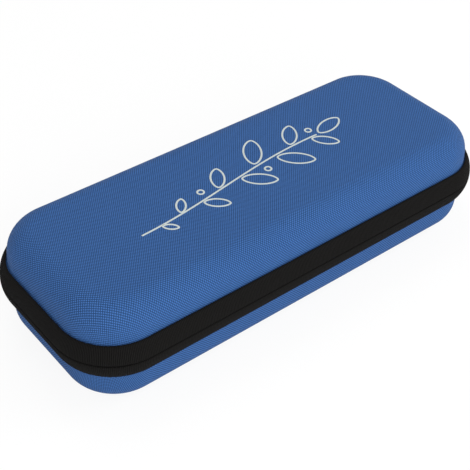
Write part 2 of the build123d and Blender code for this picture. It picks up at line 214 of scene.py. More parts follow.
# ---- The print ----
PRINT_HEIGHT = 0.12
PRINT_ROOT = 0.05  # how deep its lines are in the cloth
SPRIG_START = -78.0
SPRIG_END = 52.0
SPRIG_LEAVES = 9
LEAF = (26.0, 5.2)  # length and half width of the largest leaf
LAST_LEAF = (22.0, 4.4)
LEAF_TURN = 48.0  # how far the leaves stand off the stem, in degrees
LAST_TURN = 14.0  # and the last one off the case's long axis
BERRY = 1.8  # radius
BERRY_PLACE = (19.0, 6.0)  # along the stem from the leaf's foot, and off it

# ---- The stage, in metres and watts ----
CAMERA_PLACE = (-0.2964, -0.3411, 0.39891)
CAMERA_RIGHT = (0.78014, -0.62508, 0.02558)
CAMERA_UP = (0.38839, 0.51598, 0.76349)
CAMERA_BACK = (-0.49045, -0.58569, 0.64531)
LENS = 79.67
LIGHTS = (  # name, place, width and power
    ("key", (-0.45, -1.3, 0.8), 0.9, 14.8),
    ("fill", (0.9, -0.6, 0.9), 0.8, 5.6),
    ("back", (0.1, 0.6, 1.4), 0.8, 4.4),
)
LIT_POINT = (0, 0, 0.03)
WORLD_LIGHT = 0.55
FLOOR_WHITE = 0.88  # how much of the floor's whiteness doesn't take the shadow
FLOOR_REACH = 3.0  # half of the floor's side


# ---- The sizes and colours that a user would change ----


def length(text, about, value):
    return FloatProperty(name=text, description=about, default=value * MM, min=0.0, unit="LENGTH")


def colour(text, about, value):
    return FloatVectorProperty(
        name=text, description=about, default=value, subtype="COLOR", size=3, min=0.0, max=1.0
    )


class CaseSizes(bpy.types.PropertyGroup):
    weave_pitch: length("Weave", "Width of one cell of the woven face", 0.75)
    rib_pitch: length("Tape ribs", "Distance between the ribs of the zip tape", 0.9)
    rib_depth: length("Rib depth", "How deep the valleys between the tape's ribs are", 0.13)
    coil_pitch: length("Coil pitch", "Distance between the turns of a zip coil", 2.0)
    coil_wire: length("Coil wire", "Radius of the coil's nylon wire", 0.28)
    line_width: length("Print line", "Width of the lines printed on the lid", 1.15)


class CaseColours(bpy.types.PropertyGroup):
    face: colour("Woven face", "Colour of the woven face", (0.0355, 0.1015, 0.276))
    trim: colour("Trim", "Colour of the tapes, binding and strap", (0.0068, 0.0065, 0.0063))
    lining: colour("Lining", "Colour of the knit lining", (0.02, 0.02, 0.022))
    metal: colour("Metal", "Colour of the sliders' enamel", (0.016, 0.016, 0.017))
    rubber: colour("Grips", "Colour of the moulded grips", (0.016, 0.016, 0.017))
    line: colour("Print", "Colour of the lines printed on the lid", (0.50, 0.55, 0.53))


def size_of(name):
    """One of the sizes that a user may change, in metres."""
    return getattr(bpy.context.scene.case_sizes, name)


def in_mm(name):
    return size_of(name) / MM


def tinted(shade, factor):
    return tuple(min(1.0, part * factor) for part in shade)


def shade_of(name, factor=1.0):
    """One of the colours that a user may change, made lighter or darker by that factor."""
    return tinted(tuple(getattr(bpy.context.scene.case_colours, name)), factor)


# ---- Sections and paths ----


def bow(z, depth=0.0):
    """How far inward a surface of the bowed tape lies at height z, at that depth in the tape."""
    return BOW_RADIUS - math.sqrt((BOW_RADIUS - depth) ** 2 - z**2)


def draw_in(z):
    """How much further inward the drafted wall is at height z than at its top."""
    return DRAFT * (-BAND_HALF - z)


def arc(centre, radius, start, end, parts):
    """Points along an arc, angles in degrees."""
    turns = np.radians(np.linspace(start, end, parts + 1))
    return np.stack([centre[0] + radius * np.cos(turns), centre[1] + radius * np.sin(turns)], 1)


def rounded(points, radius, parts=4, closed=True):
    """A polyline with its corners rounded to that radius, or to one radius for each corner."""
    points = [np.array(p, float) for p in points]
    count = len(points)
    radii = [radius] * count if np.isscalar(radius) else radius
    out = []
    for i, here in enumerate(points):
        if radii[i] == 0 or (not closed and i in (0, count - 1)):
            out.append(here)
            continue
        back = points[i - 1] - here
        on = points[(i + 1) % count] - here
        back_length, on_length = np.linalg.norm(back), np.linalg.norm(on)
        back, on = back / back_length, on / on_length
        half = math.acos(max(-1, min(1, float(back @ on)))) / 2
        if half > math.pi / 2 - 0.01:  # as good as straight
            out.append(here)
            continue
        cut = min(radii[i] / math.tan(half), back_length * 0.49, on_length * 0.49)
        reach = cut * math.tan(half)
        middle = here + (back + on) / np.linalg.norm(back + on) * reach / math.sin(half)
        first, last = here + back * cut, here + on * cut
        a = math.atan2(*(first - middle)[::-1])
        b = math.atan2(*(last - middle)[::-1])
        b = a + (b - a + math.pi) % (2 * math.pi) - math.pi
        out.extend(arc(middle, reach, math.degrees(a), math.degrees(b), parts))
    return np.array(out)


def rectangle(half_x, low, high, corner, parts=4):
    """A rectangle with rounded corners, over x from -half_x to half_x."""
    corners = [(-half_x, low), (half_x, low), (half_x, high), (-half_x, high)]
    return rounded(corners, corner, parts)


def closed_line(line):
    return np.concatenate([line, line[:1]])


def headings(path, closed=False):
    """Unit vectors along a path, at each of its points."""
    if closed:
        ahead = np.roll(path, -1, 0) - np.roll(path, 1, 0)
    else:
        ahead = np.gradient(path, axis=0)
    return ahead / np.linalg.norm(ahead, axis=1)[:, None]


def length_along(line):
    return np.concatenate([[0], np.cumsum(np.linalg.norm(np.diff(line, axis=0), axis=1))])


def points_at(line, run, distances):
    """Points of a plane polyline at those distances, run being the distances of its own points."""
    return np.stack([np.interp(distances, run, line[:, i]) for i in range(line.shape[1])], 1)


def resampled(line, step):
    """An open polyline with points about that step apart."""
    line = np.asarray(line, float)
    run = length_along(line)
    return points_at(line, run, np.linspace(0, run[-1], max(2, int(run[-1] / step) + 1)))


def ring_stations(along_x, along_y, round_turn):
    """Stations once round the case, anticlockwise: points on the zip line, outward directions."""
    corners = [(FLAT_X, -FLAT_Y), (FLAT_X, FLAT_Y), (-FLAT_X, FLAT_Y), (-FLAT_X, -FLAT_Y)]
    inner, out = [], []
    for number, corner in enumerate(corners):
        before = np.array(corners[number - 1], float)
        corner = np.array(corner, float)
        parts = along_y if number % 2 else along_x
        heading = math.pi / 2 * number - math.pi / 2
        for t in np.arange(parts) / parts:
            inner.append(before + (corner - before) * t)
            out.append((math.cos(heading), math.sin(heading)))
        for t in np.arange(round_turn) / round_turn:
            angle = heading + t * math.pi / 2
            inner.append(corner)
            out.append((math.cos(angle), math.sin(angle)))
    inner, out = np.array(inner + inner[:1]), np.array(out + out[:1])
    return inner + out * CORNER, out


BACK_RUN = FLAT_X - GUSSET_HALF
TURN = CORNER * math.pi / 2
RUNS = [  # start, heading and length, then the centre of the turn that follows
    ((-GUSSET_HALF, HALF_WIDTH), (-1, 0), BACK_RUN, (-FLAT_X, FLAT_Y)),
    ((-HALF_LENGTH, FLAT_Y), (0, -1), 2 * FLAT_Y, (-FLAT_X, -FLAT_Y)),
    ((-FLAT_X, -HALF_WIDTH), (1, 0), 2 * FLAT_X, (FLAT_X, -FLAT_Y)),
    ((HALF_LENGTH, -FLAT_Y), (0, 1), 2 * FLAT_Y, (FLAT_X, FLAT_Y)),
    ((FLAT_X, HALF_WIDTH), (-1, 0), BACK_RUN, None),
]
ZIP_LENGTH = sum(run[2] for run in RUNS) + 4 * TURN


def zip_line(distances):
    """Points on the zip line at those distances from the gusset, and the outward directions."""
    points, out = [], []
    for distance in distances:
        for start, heading, span, centre in RUNS:
            if distance <= span or centre is None:
                x, y = start[0] + heading[0] * distance, start[1] + heading[1] * distance
                points.append((x, y))
                out.append((heading[1], -heading[0]))
                break
            distance -= span
            if distance <= TURN:
                angle = math.atan2(-heading[0], heading[1]) + distance / CORNER
                x, y = centre[0] + CORNER * math.cos(angle), centre[1] + CORNER * math.sin(angle)
                points.append((x, y))
                out.append((math.cos(angle), math.sin(angle)))
                break
            distance -= TURN
    return np.array(points), np.array(out)


def whole_line(distances):
    """Like zip_line, and on along the hinge gusset to where the run began."""
    distances = np.asarray(distances)
    points, out = zip_line(np.minimum(distances, ZIP_LENGTH))
    past = distances > ZIP_LENGTH
    x = GUSSET_HALF - (distances[past] - ZIP_LENGTH)
    points[past] = np.column_stack([x, np.full(past.sum(), HALF_WIDTH)])
    out[past] = (0, 1)
    return points, out


def spread(points):
    """How far each tape's edge stands from its closed place, at points on the zip line."""
    near = np.clip((SPREAD_TIP - np.abs(points[:, 1])) / (SPREAD_TIP - SPREAD_HALF), 0, 1)
    near = near * near * (3 - 2 * near)
    return np.where(points[:, 0] > FLAT_X, near, 0) * SPREAD_HEIGHT


def swept(points, out, section, flip=False):
    """A section carried along stations. There is one section, or one for each station."""
    section = np.asarray(section, float)
    section = np.broadcast_to(section, (len(points), *np.shape(section)[-2:]))
    flat = points[:, None, :] - out[:, None, :] * section[:, :, 0:1]
    z = section[:, :, 1] * (-1 if flip else 1) + PARTING
    return np.concatenate([flat, z[:, :, None]], 2)


def facing(out, roll):
    """Euler angles that lay a pattern along the zip line, rolled about its own length."""
    turns = np.zeros((len(out), 3))
    turns[:, 0] = roll
    turns[:, 2] = np.arctan2(out[:, 1], out[:, 0]) + math.pi / 2
    return turns


def squared(wave, power):
    """A wave with its crests made fuller, for powers below 1."""
    return np.sign(wave) * np.abs(wave) ** power


# ---- Meshes ----


def placed(name, data):
    """A new object in the scene."""
    thing = bpy.data.objects.new(name, data)
    bpy.context.scene.collection.objects.link(thing)
    return thing


def make_mesh(name, patches, smooth=35.0):
    """A closed object from grid patches of (points, pattern coordinates), joined where they meet.

    Its open ends are capped and its faces turned outwards.
    """
    vertices, faces, uvs = [], [], []
    for grid, uv in patches:
        rows, columns = grid.shape[:2]
        base = len(vertices)
        vertices.extend(grid.reshape(-1, 3))
        corner = (np.arange(rows - 1)[:, None] * columns + np.arange(columns - 1)[None, :]).ravel()
        quads = np.stack([corner, corner + 1, corner + columns + 1, corner + columns], 1)
        faces.append(quads + base)
        uvs.append(uv.reshape(-1, 2)[quads.ravel()])
    faces, uvs = np.concatenate(faces), np.concatenate(uvs)
    mesh = bpy.data.meshes.new(name)
    mesh.from_pydata((np.array(vertices) * MM).tolist(), [], faces.tolist())
    layer = mesh.uv_layers.new(name="pattern")
    layer.data.foreach_set("uv", (uvs * MM).astype(np.float32).ravel())
    edit = bmesh.new()
    edit.from_mesh(mesh)
    bmesh.ops.remove_doubles(edit, verts=edit.verts, dist=MERGED)
    bmesh.ops.dissolve_degenerate(edit, edges=edit.edges, dist=1e-7)
    bmesh.ops.holes_fill(edit, edges=[e for e in edit.edges if e.is_boundary], sides=0)
    bmesh.ops.recalc_face_normals(edit, faces=edit.faces)
    edit.to_mesh(mesh)
    edit.free()
    mesh.shade_smooth()
    mesh.set_sharp_from_angle(angle=math.radians(smooth))
    return placed(name, mesh)


def along_and_across(grid, distances=None):
    """Pattern coordinates for a swept grid: distance along it and distance across its section."""
    if distances is None:
        distances = length_along(grid[:, 0])
    return np.stack(np.broadcast_arrays(distances[:, None], length_along(grid[0])[None, :]), 2)


def swept_mesh(name, grid, distances=None, smooth=35.0):
    return make_mesh(name, [(grid, along_and_across(grid, distances))], smooth)


def carried(path, section, up):
    """A section of (side, up) points carried along a path."""
    ahead = headings(path)
    side = np.cross(ahead, up)
    side /= np.linalg.norm(side, axis=1)[:, None]
    top = np.cross(side, ahead)
    grid = path[:, None] + side[:, None] * section[None, :, 0:1]
    return grid + top[:, None] * section[None, :, 1:2]


def tube(name, path, wide, tall=None, sides=6, up=(0, 0, 1)):
    """A bar along a path, with one radius or with two, in its side and up directions."""
    turn = np.linspace(0, 2 * math.pi, sides + 1)
    section = np.stack([np.cos(turn) * wide, np.sin(turn) * (tall or wide)], 1)
    return swept_mesh(name, carried(np.asarray(path, float), section, up), smooth=60)


def flat_band(name, path, width, thickness, edge=0.25):
    """A flat tape with rounded edges, laid level along a path."""
    section = rectangle(width / 2, -thickness / 2, thickness / 2, edge, 3)
    grid = carried(np.asarray(path, float), closed_line(section), (0, 0, 1))
    return swept_mesh(name, grid, smooth=50)


def inset_outline(line, amount):
    """A closed outline drawn in by that amount, along its corners' own directions."""
    before = line - np.roll(line, 1, 0)
    after = np.roll(line, -1, 0) - line
    before /= np.linalg.norm(before, axis=1)[:, None]
    after /= np.linalg.norm(after, axis=1)[:, None]
    normal = np.stack([-before[:, 1] - after[:, 1], before[:, 0] + after[:, 0]], 1)
    normal /= np.linalg.norm(normal, axis=1)[:, None]
    share = np.clip(normal[:, 0] * -before[:, 1] + normal[:, 1] * before[:, 0], 0.4, 1)
    area = np.sum(line[:, 0] * np.roll(line[:, 1], -1) - np.roll(line[:, 0], -1) * line[:, 1])
    return line + normal * (amount / share)[:, None] * (1 if area > 0 else -1)


def slab(name, line, low, high, edge, place=None, steps=3):
    """A flat plate with rounded edges; place turns its (x, y, z) rows into the model's."""
    line = np.asarray(line, float)
    turns = np.linspace(0, math.pi / 2, steps + 1)
    rings = []
    for t in turns:
        rings.append((inset_outline(line, edge * (1 - math.sin(t))), low + edge * (1 - math.cos(t))))
    for t in turns[::-1]:
        rings.append((inset_outline(line, edge * (1 - math.sin(t))), high - edge * (1 - math.cos(t))))
    grid = np.stack([np.column_stack([ring, np.full(len(ring), z)]) for ring, z in rings])
    grid = np.concatenate([grid, grid[:, :1]], 1)
    return swept_mesh(name, grid if place is None else place(grid), smooth=50)


def joined(name, things):
    """Several finished meshes as one object."""
    for thing in bpy.context.selected_objects:
        thing.select_set(False)
    for thing in things:
        thing.select_set(True)
    bpy.context.view_layer.objects.active = things[0]
    bpy.ops.object.join()
    things[0].name = name
    things[0].data.name = name
    return things[0]


# ---- Repeats by Geometry Nodes ----


def repeat_tree():
    """Sets a copy of a pattern on every point, makes the copies real and gives them their finish."""
    name = "Repeat along points"
    if name in bpy.data.node_groups:
        return bpy.data.node_groups[name]
    tree = bpy.data.node_groups.new(name, "GeometryNodeTree")
    tree.is_modifier = True
    inputs = ("Points", "Geometry"), ("Pattern", "Object"), ("Size", "Float"), ("Finish", "Material")
    for text, kind in inputs:
        tree.interface.new_socket(text, in_out="INPUT", socket_type=f"NodeSocket{kind}")
    tree.interface.new_socket("Repeats", in_out="OUTPUT", socket_type="NodeSocketGeometry")
    given = tree.nodes.new("NodeGroupInput").outputs
    pattern = node(tree, "GeometryNodeObjectInfo", {"Object": given["Pattern"]})
    named = "GeometryNodeInputNamedAttribute"
    turn = node(tree, named, {"Name": "turn"}, data_type="FLOAT_VECTOR")
    size = node(tree, named, {"Name": "size"}, data_type="FLOAT_VECTOR")
    spin = node(tree, "FunctionNodeEulerToRotation", (turn.outputs["Attribute"],))
    grow = node(tree, "ShaderNodeVectorMath", {0: size.outputs["Attribute"]}, operation="SCALE")
    tree.links.new(given["Size"], grow.inputs["Scale"])
    copies = {
        "Points": given["Points"],
        "Instance": pattern.outputs["Geometry"],
        "Rotation": spin.outputs[0],
        "Scale": grow.outputs[0],
    }
    copies = node(tree, "GeometryNodeInstanceOnPoints", copies)
    real = node(tree, "GeometryNodeRealizeInstances", (copies.outputs[0],))
    coated = {"Geometry": real.outputs[0], "Material": given["Finish"]}
    coated = node(tree, "GeometryNodeSetMaterial", coated)
    tree.links.new(coated.outputs[0], tree.nodes.new("NodeGroupOutput").inputs[0])
    return tree


def set_input(modifier, text, value):
    """Sets a tree's input on a modifier, by the socket's identifier."""
    for item in modifier.node_group.interface.items_tree:
        if item.item_type == "SOCKET" and item.in_out == "INPUT" and item.name == text:
            modifier[item.identifier] = value
            return
    raise KeyError(text)


def plain_mesh(thing):
    """Gives the object its evaluated shape as a plain mesh, in place of its live modifiers."""
    bpy.context.view_layer.update()
    graph = bpy.context.evaluated_depsgraph_get()
    made = bpy.data.meshes.new_from_object(
        thing.evaluated_get(graph), preserve_all_data_layers=True, depsgraph=graph
    )
    thing.modifiers.clear()
    old = thing.data
    thing.data = made
    bpy.data.meshes.remove(old)


def repeated(name, pattern, places, turns, finish_name, scales=1.0):
    """A pattern object repeated at places, turned by Euler angles, as one plain mesh."""
    places = np.asarray(places, float)
    mesh = bpy.data.meshes.new(name)
    mesh.from_pydata((places * MM).tolist(), [], [])
    for text, values in (("turn", turns), ("size", scales)):
        values = np.broadcast_to(np.asarray(values, float), places.shape)
        layer = mesh.attributes.new(text, "FLOAT_VECTOR", "POINT")
        layer.data.foreach_set("vector", np.ascontiguousarray(values, np.float32).ravel())
    thing = placed(name, mesh)
    modifier = thing.modifiers.new("repeat", "NODES")
    modifier.node_group = repeat_tree()
    set_input(modifier, "Pattern", pattern)
    set_input(modifier, "Size", 1.0)
    set_input(modifier, "Finish", finish(finish_name))
    plain_mesh(thing)
    for text in ("turn", "size"):
        if text in thing.data.attributes:
            thing.data.attributes.remove(thing.data.attributes[text])
    bpy.data.objects.remove(pattern)
    thing.data.shade_smooth()
    return thing


def stitch(span, radius):
    """One sewn stitch: a short thread that dips into the cloth at both ends."""
    steps = np.linspace(-1, 1, 7)
    path = np.stack([steps * span / 2, np.zeros(7), radius * (0.9 - 1.7 * steps**4)], 1)
    return tube("stitch", path, radius, up=(0, 1, 0))


def dress(thing, finish_name, body, *replaced, slot):
    """Gives a piece its finish and its body, in place of the CAD nodes that it stands for."""
    thing.data.materials.append(finish(finish_name))
    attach(thing, body)
    if replaced:
        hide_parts(*replaced)


# ---- Material building ----


def node(tree, kind, values=(), **settings):
    """A node with its inputs linked or set, by position or by name."""
    made = tree.nodes.new(kind)
    for key, value in settings.items():
        setattr(made, key, value)
    for key, value in values.items() if isinstance(values, dict) else enumerate(values):
        if isinstance(value, bpy.types.NodeSocket):
            tree.links.new(value, made.inputs[key])
        else:
            made.inputs[key].default_value = value
    return made


def calc(tree, operation, *values):
    return node(tree, "ShaderNodeMath", values, operation=operation).outputs[0]


def either(tree, share, first, second):
    """The first value where share is 1, and the second where it is 0."""
    rest = calc(tree, "MULTIPLY", calc(tree, "SUBTRACT", 1.0, share), second)
    return calc(tree, "ADD", calc(tree, "MULTIPLY", share, first), rest)


def scaled_between(tree, value, low, high):
    return node(tree, "ShaderNodeMapRange", {"Value": value, "To Min": low, "To Max": high}).outputs[0]


def mix(tree, factor, a, b):
    """A colour between a and b, each of which is a colour or a socket."""
    made = node(tree, "ShaderNodeMix", data_type="RGBA")
    for key, value in {"Factor": factor, "A": a, "B": b}.items():
        fits = [s for s in made.inputs if s.name == key and (key == "Factor" or s.type == "RGBA")]
        if isinstance(value, bpy.types.NodeSocket):
            tree.links.new(value, fits[0])
        else:
            fits[0].default_value = value if key == "Factor" else (*value, 1)
    return next(s for s in made.outputs if s.type == "RGBA")


def shader_group(name, inputs, outputs, fill):
    """A node group, built once, whose insides are made by fill(tree, inputs) -> outputs."""
    if name in bpy.data.node_groups:
        return bpy.data.node_groups[name]
    tree = bpy.data.node_groups.new(name, "ShaderNodeTree")
    for text, kind in inputs:
        tree.interface.new_socket(text, in_out="INPUT", socket_type=f"NodeSocket{kind}")
    for text in outputs:
        tree.interface.new_socket(text, in_out="OUTPUT", socket_type="NodeSocketFloat")
    start = tree.nodes.new("NodeGroupInput")
    end = tree.nodes.new("NodeGroupOutput")
    for socket, value in zip(end.inputs, fill(tree, start.outputs)):
        tree.links.new(value, socket)
    return tree


def use_group(tree, group, **values):
    made = node(tree, "ShaderNodeGroup", node_tree=group)
    for key, value in values.items():
        socket = made.inputs[key.capitalize()]
        if isinstance(value, bpy.types.NodeSocket):
            tree.links.new(value, socket)
        else:
            socket.default_value = value
    return made.outputs


def plain_weave():
    """Over-and-under threads on a square grid: height, which is on top, and a tone per thread."""

    def fill(tree, given):
        scaled = node(tree, "ShaderNodeVectorMath", (given["Place"],), operation="SCALE")
        tree.links.new(calc(tree, "DIVIDE", 1.0, given["Pitch"]), scaled.inputs["Scale"])
        x, y = node(tree, "ShaderNodeSeparateXYZ", (scaled.outputs[0],)).outputs[:2]
        column, row = (calc(tree, "FLOOR", way) for way in (x, y))
        waves = (calc(tree, "SINE", calc(tree, "MULTIPLY", way, math.pi)) for way in (x, y))
        crown_x, crown_y = (calc(tree, "ABSOLUTE", wave) for wave in waves)
        positive = calc(tree, "ADD", column, calc(tree, "ADD", row, 4096.0))
        over = calc(tree, "MODULO", positive, 2.0)
        across = calc(tree, "POWER", either(tree, over, crown_x, crown_y), 0.5)
        ends = calc(tree, "POWER", either(tree, over, crown_y, crown_x), 0.35)
        cell = node(tree, "ShaderNodeCombineXYZ", (column, row, over))
        thread = {"Vector": cell.outputs[0]}
        thread = node(tree, "ShaderNodeTexWhiteNoise", thread, noise_dimensions="3D")
        return calc(tree, "MULTIPLY", across, ends), over, thread.outputs["Value"]

    inputs = [("Place", "Vector"), ("Pitch", "Float")]
    return shader_group("Plain weave", inputs, ["Height", "Over", "Thread"], fill)


def ribs():
    """Rounded ribs across a strip: 1 on a rib's crown, 0 in the valley."""

    def fill(tree, given):
        along = node(tree, "ShaderNodeSeparateXYZ", (given["Place"],)).outputs[0]
        turn = calc(tree, "MULTIPLY", calc(tree, "DIVIDE", along, given["Pitch"]), math.pi)
        wave = calc(tree, "ABSOLUTE", calc(tree, "SINE", turn))
        return (calc(tree, "POWER", wave, RIB_ROUNDNESS),)

    return shader_group("Ribs", [("Place", "Vector"), ("Pitch", "Float")], ["Height"], fill)


def fibres():
    """Fine loose fibres and slow patches of tone, in the object's own space."""

    def fill(tree, given):
        place = node(tree, "ShaderNodeTexCoord").outputs["Object"]
        kind = "ShaderNodeTexNoise"
        fine = {"Vector": place, "Scale": given["Fineness"], "Detail": 3.0}
        slow = {"Vector": place, "Scale": 35.0, "Detail": 2.0}
        return node(tree, kind, fine).outputs["Fac"], node(tree, kind, slow).outputs["Fac"]

    return shader_group("Fibres", [("Fineness", "Float")], ["Fine", "Slow"], fill)


def blank(name, **values):
    """A new material with its surface shader, whose sockets get those values."""
    material = bpy.data.materials.new(name)
    material.use_nodes = True
    tree = material.node_tree
    tree.nodes.clear()
    values = {key.replace("_", " "): value for key, value in values.items()}
    shader = node(tree, "ShaderNodeBsdfPrincipled", values)
    end = tree.nodes.new("ShaderNodeOutputMaterial")
    tree.links.new(shader.outputs[0], end.inputs["Surface"])
    return material, tree, shader


def surface(tree, shader, tone, rough, height, depth):
    """Links a changing tone, roughness and relief to a surface shader."""
    tree.links.new(tone, shader.inputs["Base Color"])
    tree.links.new(rough, shader.inputs["Roughness"])
    relief = node(tree, "ShaderNodeBump", {"Height": height, "Distance": depth, "Strength": 1.0})
    tree.links.new(relief.outputs[0], shader.inputs["Normal"])


def patched(tree, loose, tone, share, shade):
    """A tone with slow patches that take up to that share of a shade."""
    return mix(tree, scaled_between(tree, loose["Slow"], 0.0, share), tone, shade)


# ---- The finishes ----


def woven_face(name):
    """The blue woven face: a plain weave whose two yarns are painted lighter and darker as painted
    sheen, with painted shade in the gaps between them.
    """
    values = {"Specular_IOR_Level": 0.05, "Sheen_Weight": 0.015, "Sheen_Roughness": 0.5}
    material, tree, shader = blank(name, **values)
    place = node(tree, "ShaderNodeUVMap", uv_map="pattern").outputs[0]
    weave = use_group(tree, plain_weave(), place=place, pitch=size_of("weave_pitch"))
    loose = use_group(tree, fibres(), fineness=1800.0)
    # painted sheen: cells where one yarn lies on top are painted lighter than those of the other,
    # standing in for their different reflection
    tone = mix(tree, weave["Over"], shade_of("face", 0.48), shade_of("face", 1.84))
    tone = mix(tree, scaled_between(tree, weave["Thread"], 0.0, 0.2), tone, shade_of("face", 1.4))
    tone = patched(tree, loose, tone, 0.16, shade_of("face", 0.8))
    # painted shade: the low gaps between the threads are darkened towards a darker shade of the face
    # colour
    tone = mix(tree, weave["Height"], shade_of("face", 0.6), tone)
    rough = scaled_between(tree, loose["Fine"], 0.5, 0.72)
    height = calc(tree, "ADD", weave["Height"], calc(tree, "MULTIPLY", loose["Fine"], 0.25))
    surface(tree, shader, tone, rough, height, 0.00015)
    return material


def knit_lining(name):
    """The brushed knit inside the shells: fine columns of loops under a soft nap, with painted shade
    in the valleys between the columns.
    """
    material, tree, shader = blank(name, Specular_IOR_Level=0.1, Sheen_Weight=0.04)
    place = node(tree, "ShaderNodeUVMap", uv_map="pattern").outputs[0]
    loose = use_group(tree, fibres(), fineness=1400.0)
    column = use_group(tree, ribs(), place=place, pitch=0.0011)
    # painted shade and highlight: the valleys between the columns are darkened and their crowns
    # painted lighter
    tone = mix(tree, column["Height"], shade_of("lining", 0.35), shade_of("lining", 1.25))
    tone = patched(tree, loose, tone, 0.4, shade_of("lining", 1.6))
    rough = scaled_between(tree, loose["Fine"], 0.8, 0.95)
    height = calc(tree, "ADD", column["Height"], loose["Fine"])
    surface(tree, shader, tone, rough, height, 0.0003)
    return material


def ribbed_tape(name, pitch=None, factor=1.0, nap=0.0):
    """Woven tape with ribs across it, over fine yarn, with painted shade in its valleys and painted
    highlight on its crowns. Without a pitch, its ribs are the zip tape's.
    """
    material, tree, shader = blank(name, Specular_IOR_Level=0.03, Sheen_Weight=nap)
    place = node(tree, "ShaderNodeUVMap", uv_map="pattern").outputs[0]
    rib = use_group(tree, ribs(), place=place, pitch=pitch or size_of("rib_pitch"))
    loose = use_group(tree, fibres(), fineness=2600.0)
    base = shade_of("trim", factor)
    # painted shade and highlight: the valleys between the ribs are darkened and the crowns painted
    # lighter
    tone = mix(tree, rib["Height"], tinted(base, 0.12), tinted(base, 1.6))
    tone = patched(tree, loose, tone, 0.3, tinted(base, 1.7))
    rough = scaled_between(tree, loose["Fine"], 0.6, 0.85)
    height = calc(tree, "ADD", rib["Height"], calc(tree, "MULTIPLY", loose["Fine"], 0.4))
    surface(tree, shader, tone, rough, height, 0.0003)
    return material


def brushed_pile(name):
    """The hook and loop tape's matt pile."""
    material, tree, shader = blank(name, Specular_IOR_Level=0.1, Sheen_Weight=0.05)
    loose = use_group(tree, fibres(), fineness=900.0)
    tone = mix(tree, loose["Fine"], shade_of("trim", 0.5), shade_of("trim", 2.6))
    rough = scaled_between(tree, loose["Fine"], 0.85, 1.0)
    surface(tree, shader, tone, rough, loose["Fine"], 0.0004)
    return material


def moulded(name, shade, rough, grain, depth, factor=1.0):
    """A moulded or spun surface with a fine grain and slow changes in its tone."""
    material, tree, shader = blank(name)
    loose = use_group(tree, fibres(), fineness=grain)
    base = shade_of(shade, factor)
    tone = patched(tree, loose, tinted(base, 0.85), 0.5, tinted(base, 1.5))
    changing = scaled_between(tree, loose["Fine"], rough - 0.07, rough + 0.1)
    surface(tree, shader, tone, changing, loose["Fine"], depth)
    return material


def slider_enamel(name):
    """Satin enamel on zinc, rubbed brighter in patches."""
    material, tree, shader = blank(name, Coat_Weight=0.4, Coat_Roughness=0.15)
    loose = use_group(tree, fibres(), fineness=600.0)
    worn = {"Value": loose["Slow"], "From Min": 0.62, "From Max": 0.78}
    worn = node(tree, "ShaderNodeMapRange", worn).outputs[0]
    tone = mix(tree, worn, shade_of("metal"), shade_of("metal", 3.2))
    rough = scaled_between(tree, loose["Fine"], 0.24, 0.4)
    surface(tree, shader, tone, rough, loose["Fine"], 0.00002)
    return material


def pale_print(name):
    """Pale print that takes the cloth's grain."""
    material, tree, shader = blank(name)
    loose = use_group(tree, fibres(), fineness=1500.0)
    tone = mix(tree, loose["Fine"], shade_of("line", 0.8), shade_of("line", 1.12))
    rough = scaled_between(tree, loose["Fine"], 0.4, 0.6)
    surface(tree, shader, tone, rough, loose["Fine"], 0.0001)
    return material


FINISHES = {  # what makes each finish, and its values, whose lengths are in metres
    "blue_weave": (woven_face, {}),
    "brushed_knit": (knit_lining, {}),
    "ribbed_band": (ribbed_tape, {}),
    "folded_tape": (ribbed_tape, dict(pitch=0.0006, factor=1.8)),
    "ribbed_elastic": (ribbed_tape, dict(pitch=0.0007, factor=2.6)),
    "strap_weave": (ribbed_tape, dict(pitch=0.0012, factor=3.0, nap=0.02)),
    "satin_nylon": (moulded, dict(shade="metal", rough=0.38, grain=1500.0, depth=0.00001)),
    "sewing_thread": (moulded, dict(shade="trim", factor=7.0, rough=0.6, grain=4000.0, depth=0.00002)),
    "net_yarn": (moulded, dict(shade="trim", factor=3.0, rough=0.7, grain=900.0, depth=0.00003)),
    "matte_rubber": (moulded, dict(shade="rubber", rough=0.62, grain=1200.0, depth=0.00006)),
    "brushed_pile": (brushed_pile, {}),
    "black_enamel": (slider_enamel, {}),
    "silver_print": (pale_print, {}),
}


def finish(name):
    """The finish of that name, made at its first use."""
    maker, values = FINISHES[name]
    return bpy.data.materials.get(name) or maker(name, **values)


# ---- The shells ----


def wall_profile(inset, bottom, radius, parts):
    """The drafted wall below the band and the arc that turns it into the floor."""
    level = bottom + radius
    centre = inset + draw_in(level) + radius / math.cos(math.radians(LEAN))
    turn = arc((centre, level), radius, 180 + LEAN, 270, parts)
    wall = np.linspace((inset, -BAND_HALF), turn[0], 6)[:-1]
    return np.concatenate([wall, turn])


def from_the_middle(wall, bottom):
    """A wall's profile turned round, and begun at the edge of the flat middle."""
    wall = wall[::-1]
    return np.concatenate([np.linspace((CORNER, bottom), wall[0], 5)[:-1], wall])


def shell_profile(depth):
    """The outside from the flat middle to the rim's lip, with the turn into the groove softened."""
    profile = from_the_middle(wall_profile(SHELL_INSET, -depth, EDGE_RADIUS, 16), -depth)
    rim = [(bow(RIM_GAP, TAPE_THICKNESS) + RIM_THICKNESS, -RIM_GAP)]
    heights = np.linspace(-RIM_GAP, GROOVE - BAND_HALF, 6)
    rim = np.array(rim + [(bow(z, TAPE_THICKNESS), z) for z in heights])[::-1]
    level = SLOT - BAND_HALF
    slot = [(SHELL_INSET, level), (SHELL_INSET - 0.75, level)]
    seat = rounded([profile[-2], *slot, rim[0]], [0, 0.3, 0.3, 0], closed=False)
    return np.concatenate([profile[:-1], seat[1:], rim[1:]])


def inside_profile(depth, lift=0.0):
    """The inside from the flat middle to the wall's top, that far in front of the foam."""
    bottom = SHELL_THICKNESS + lift - depth
    radius = EDGE_RADIUS - SHELL_THICKNESS - lift
    return from_the_middle(wall_profile(WALL_INSIDE + lift, bottom, radius, 12), bottom)


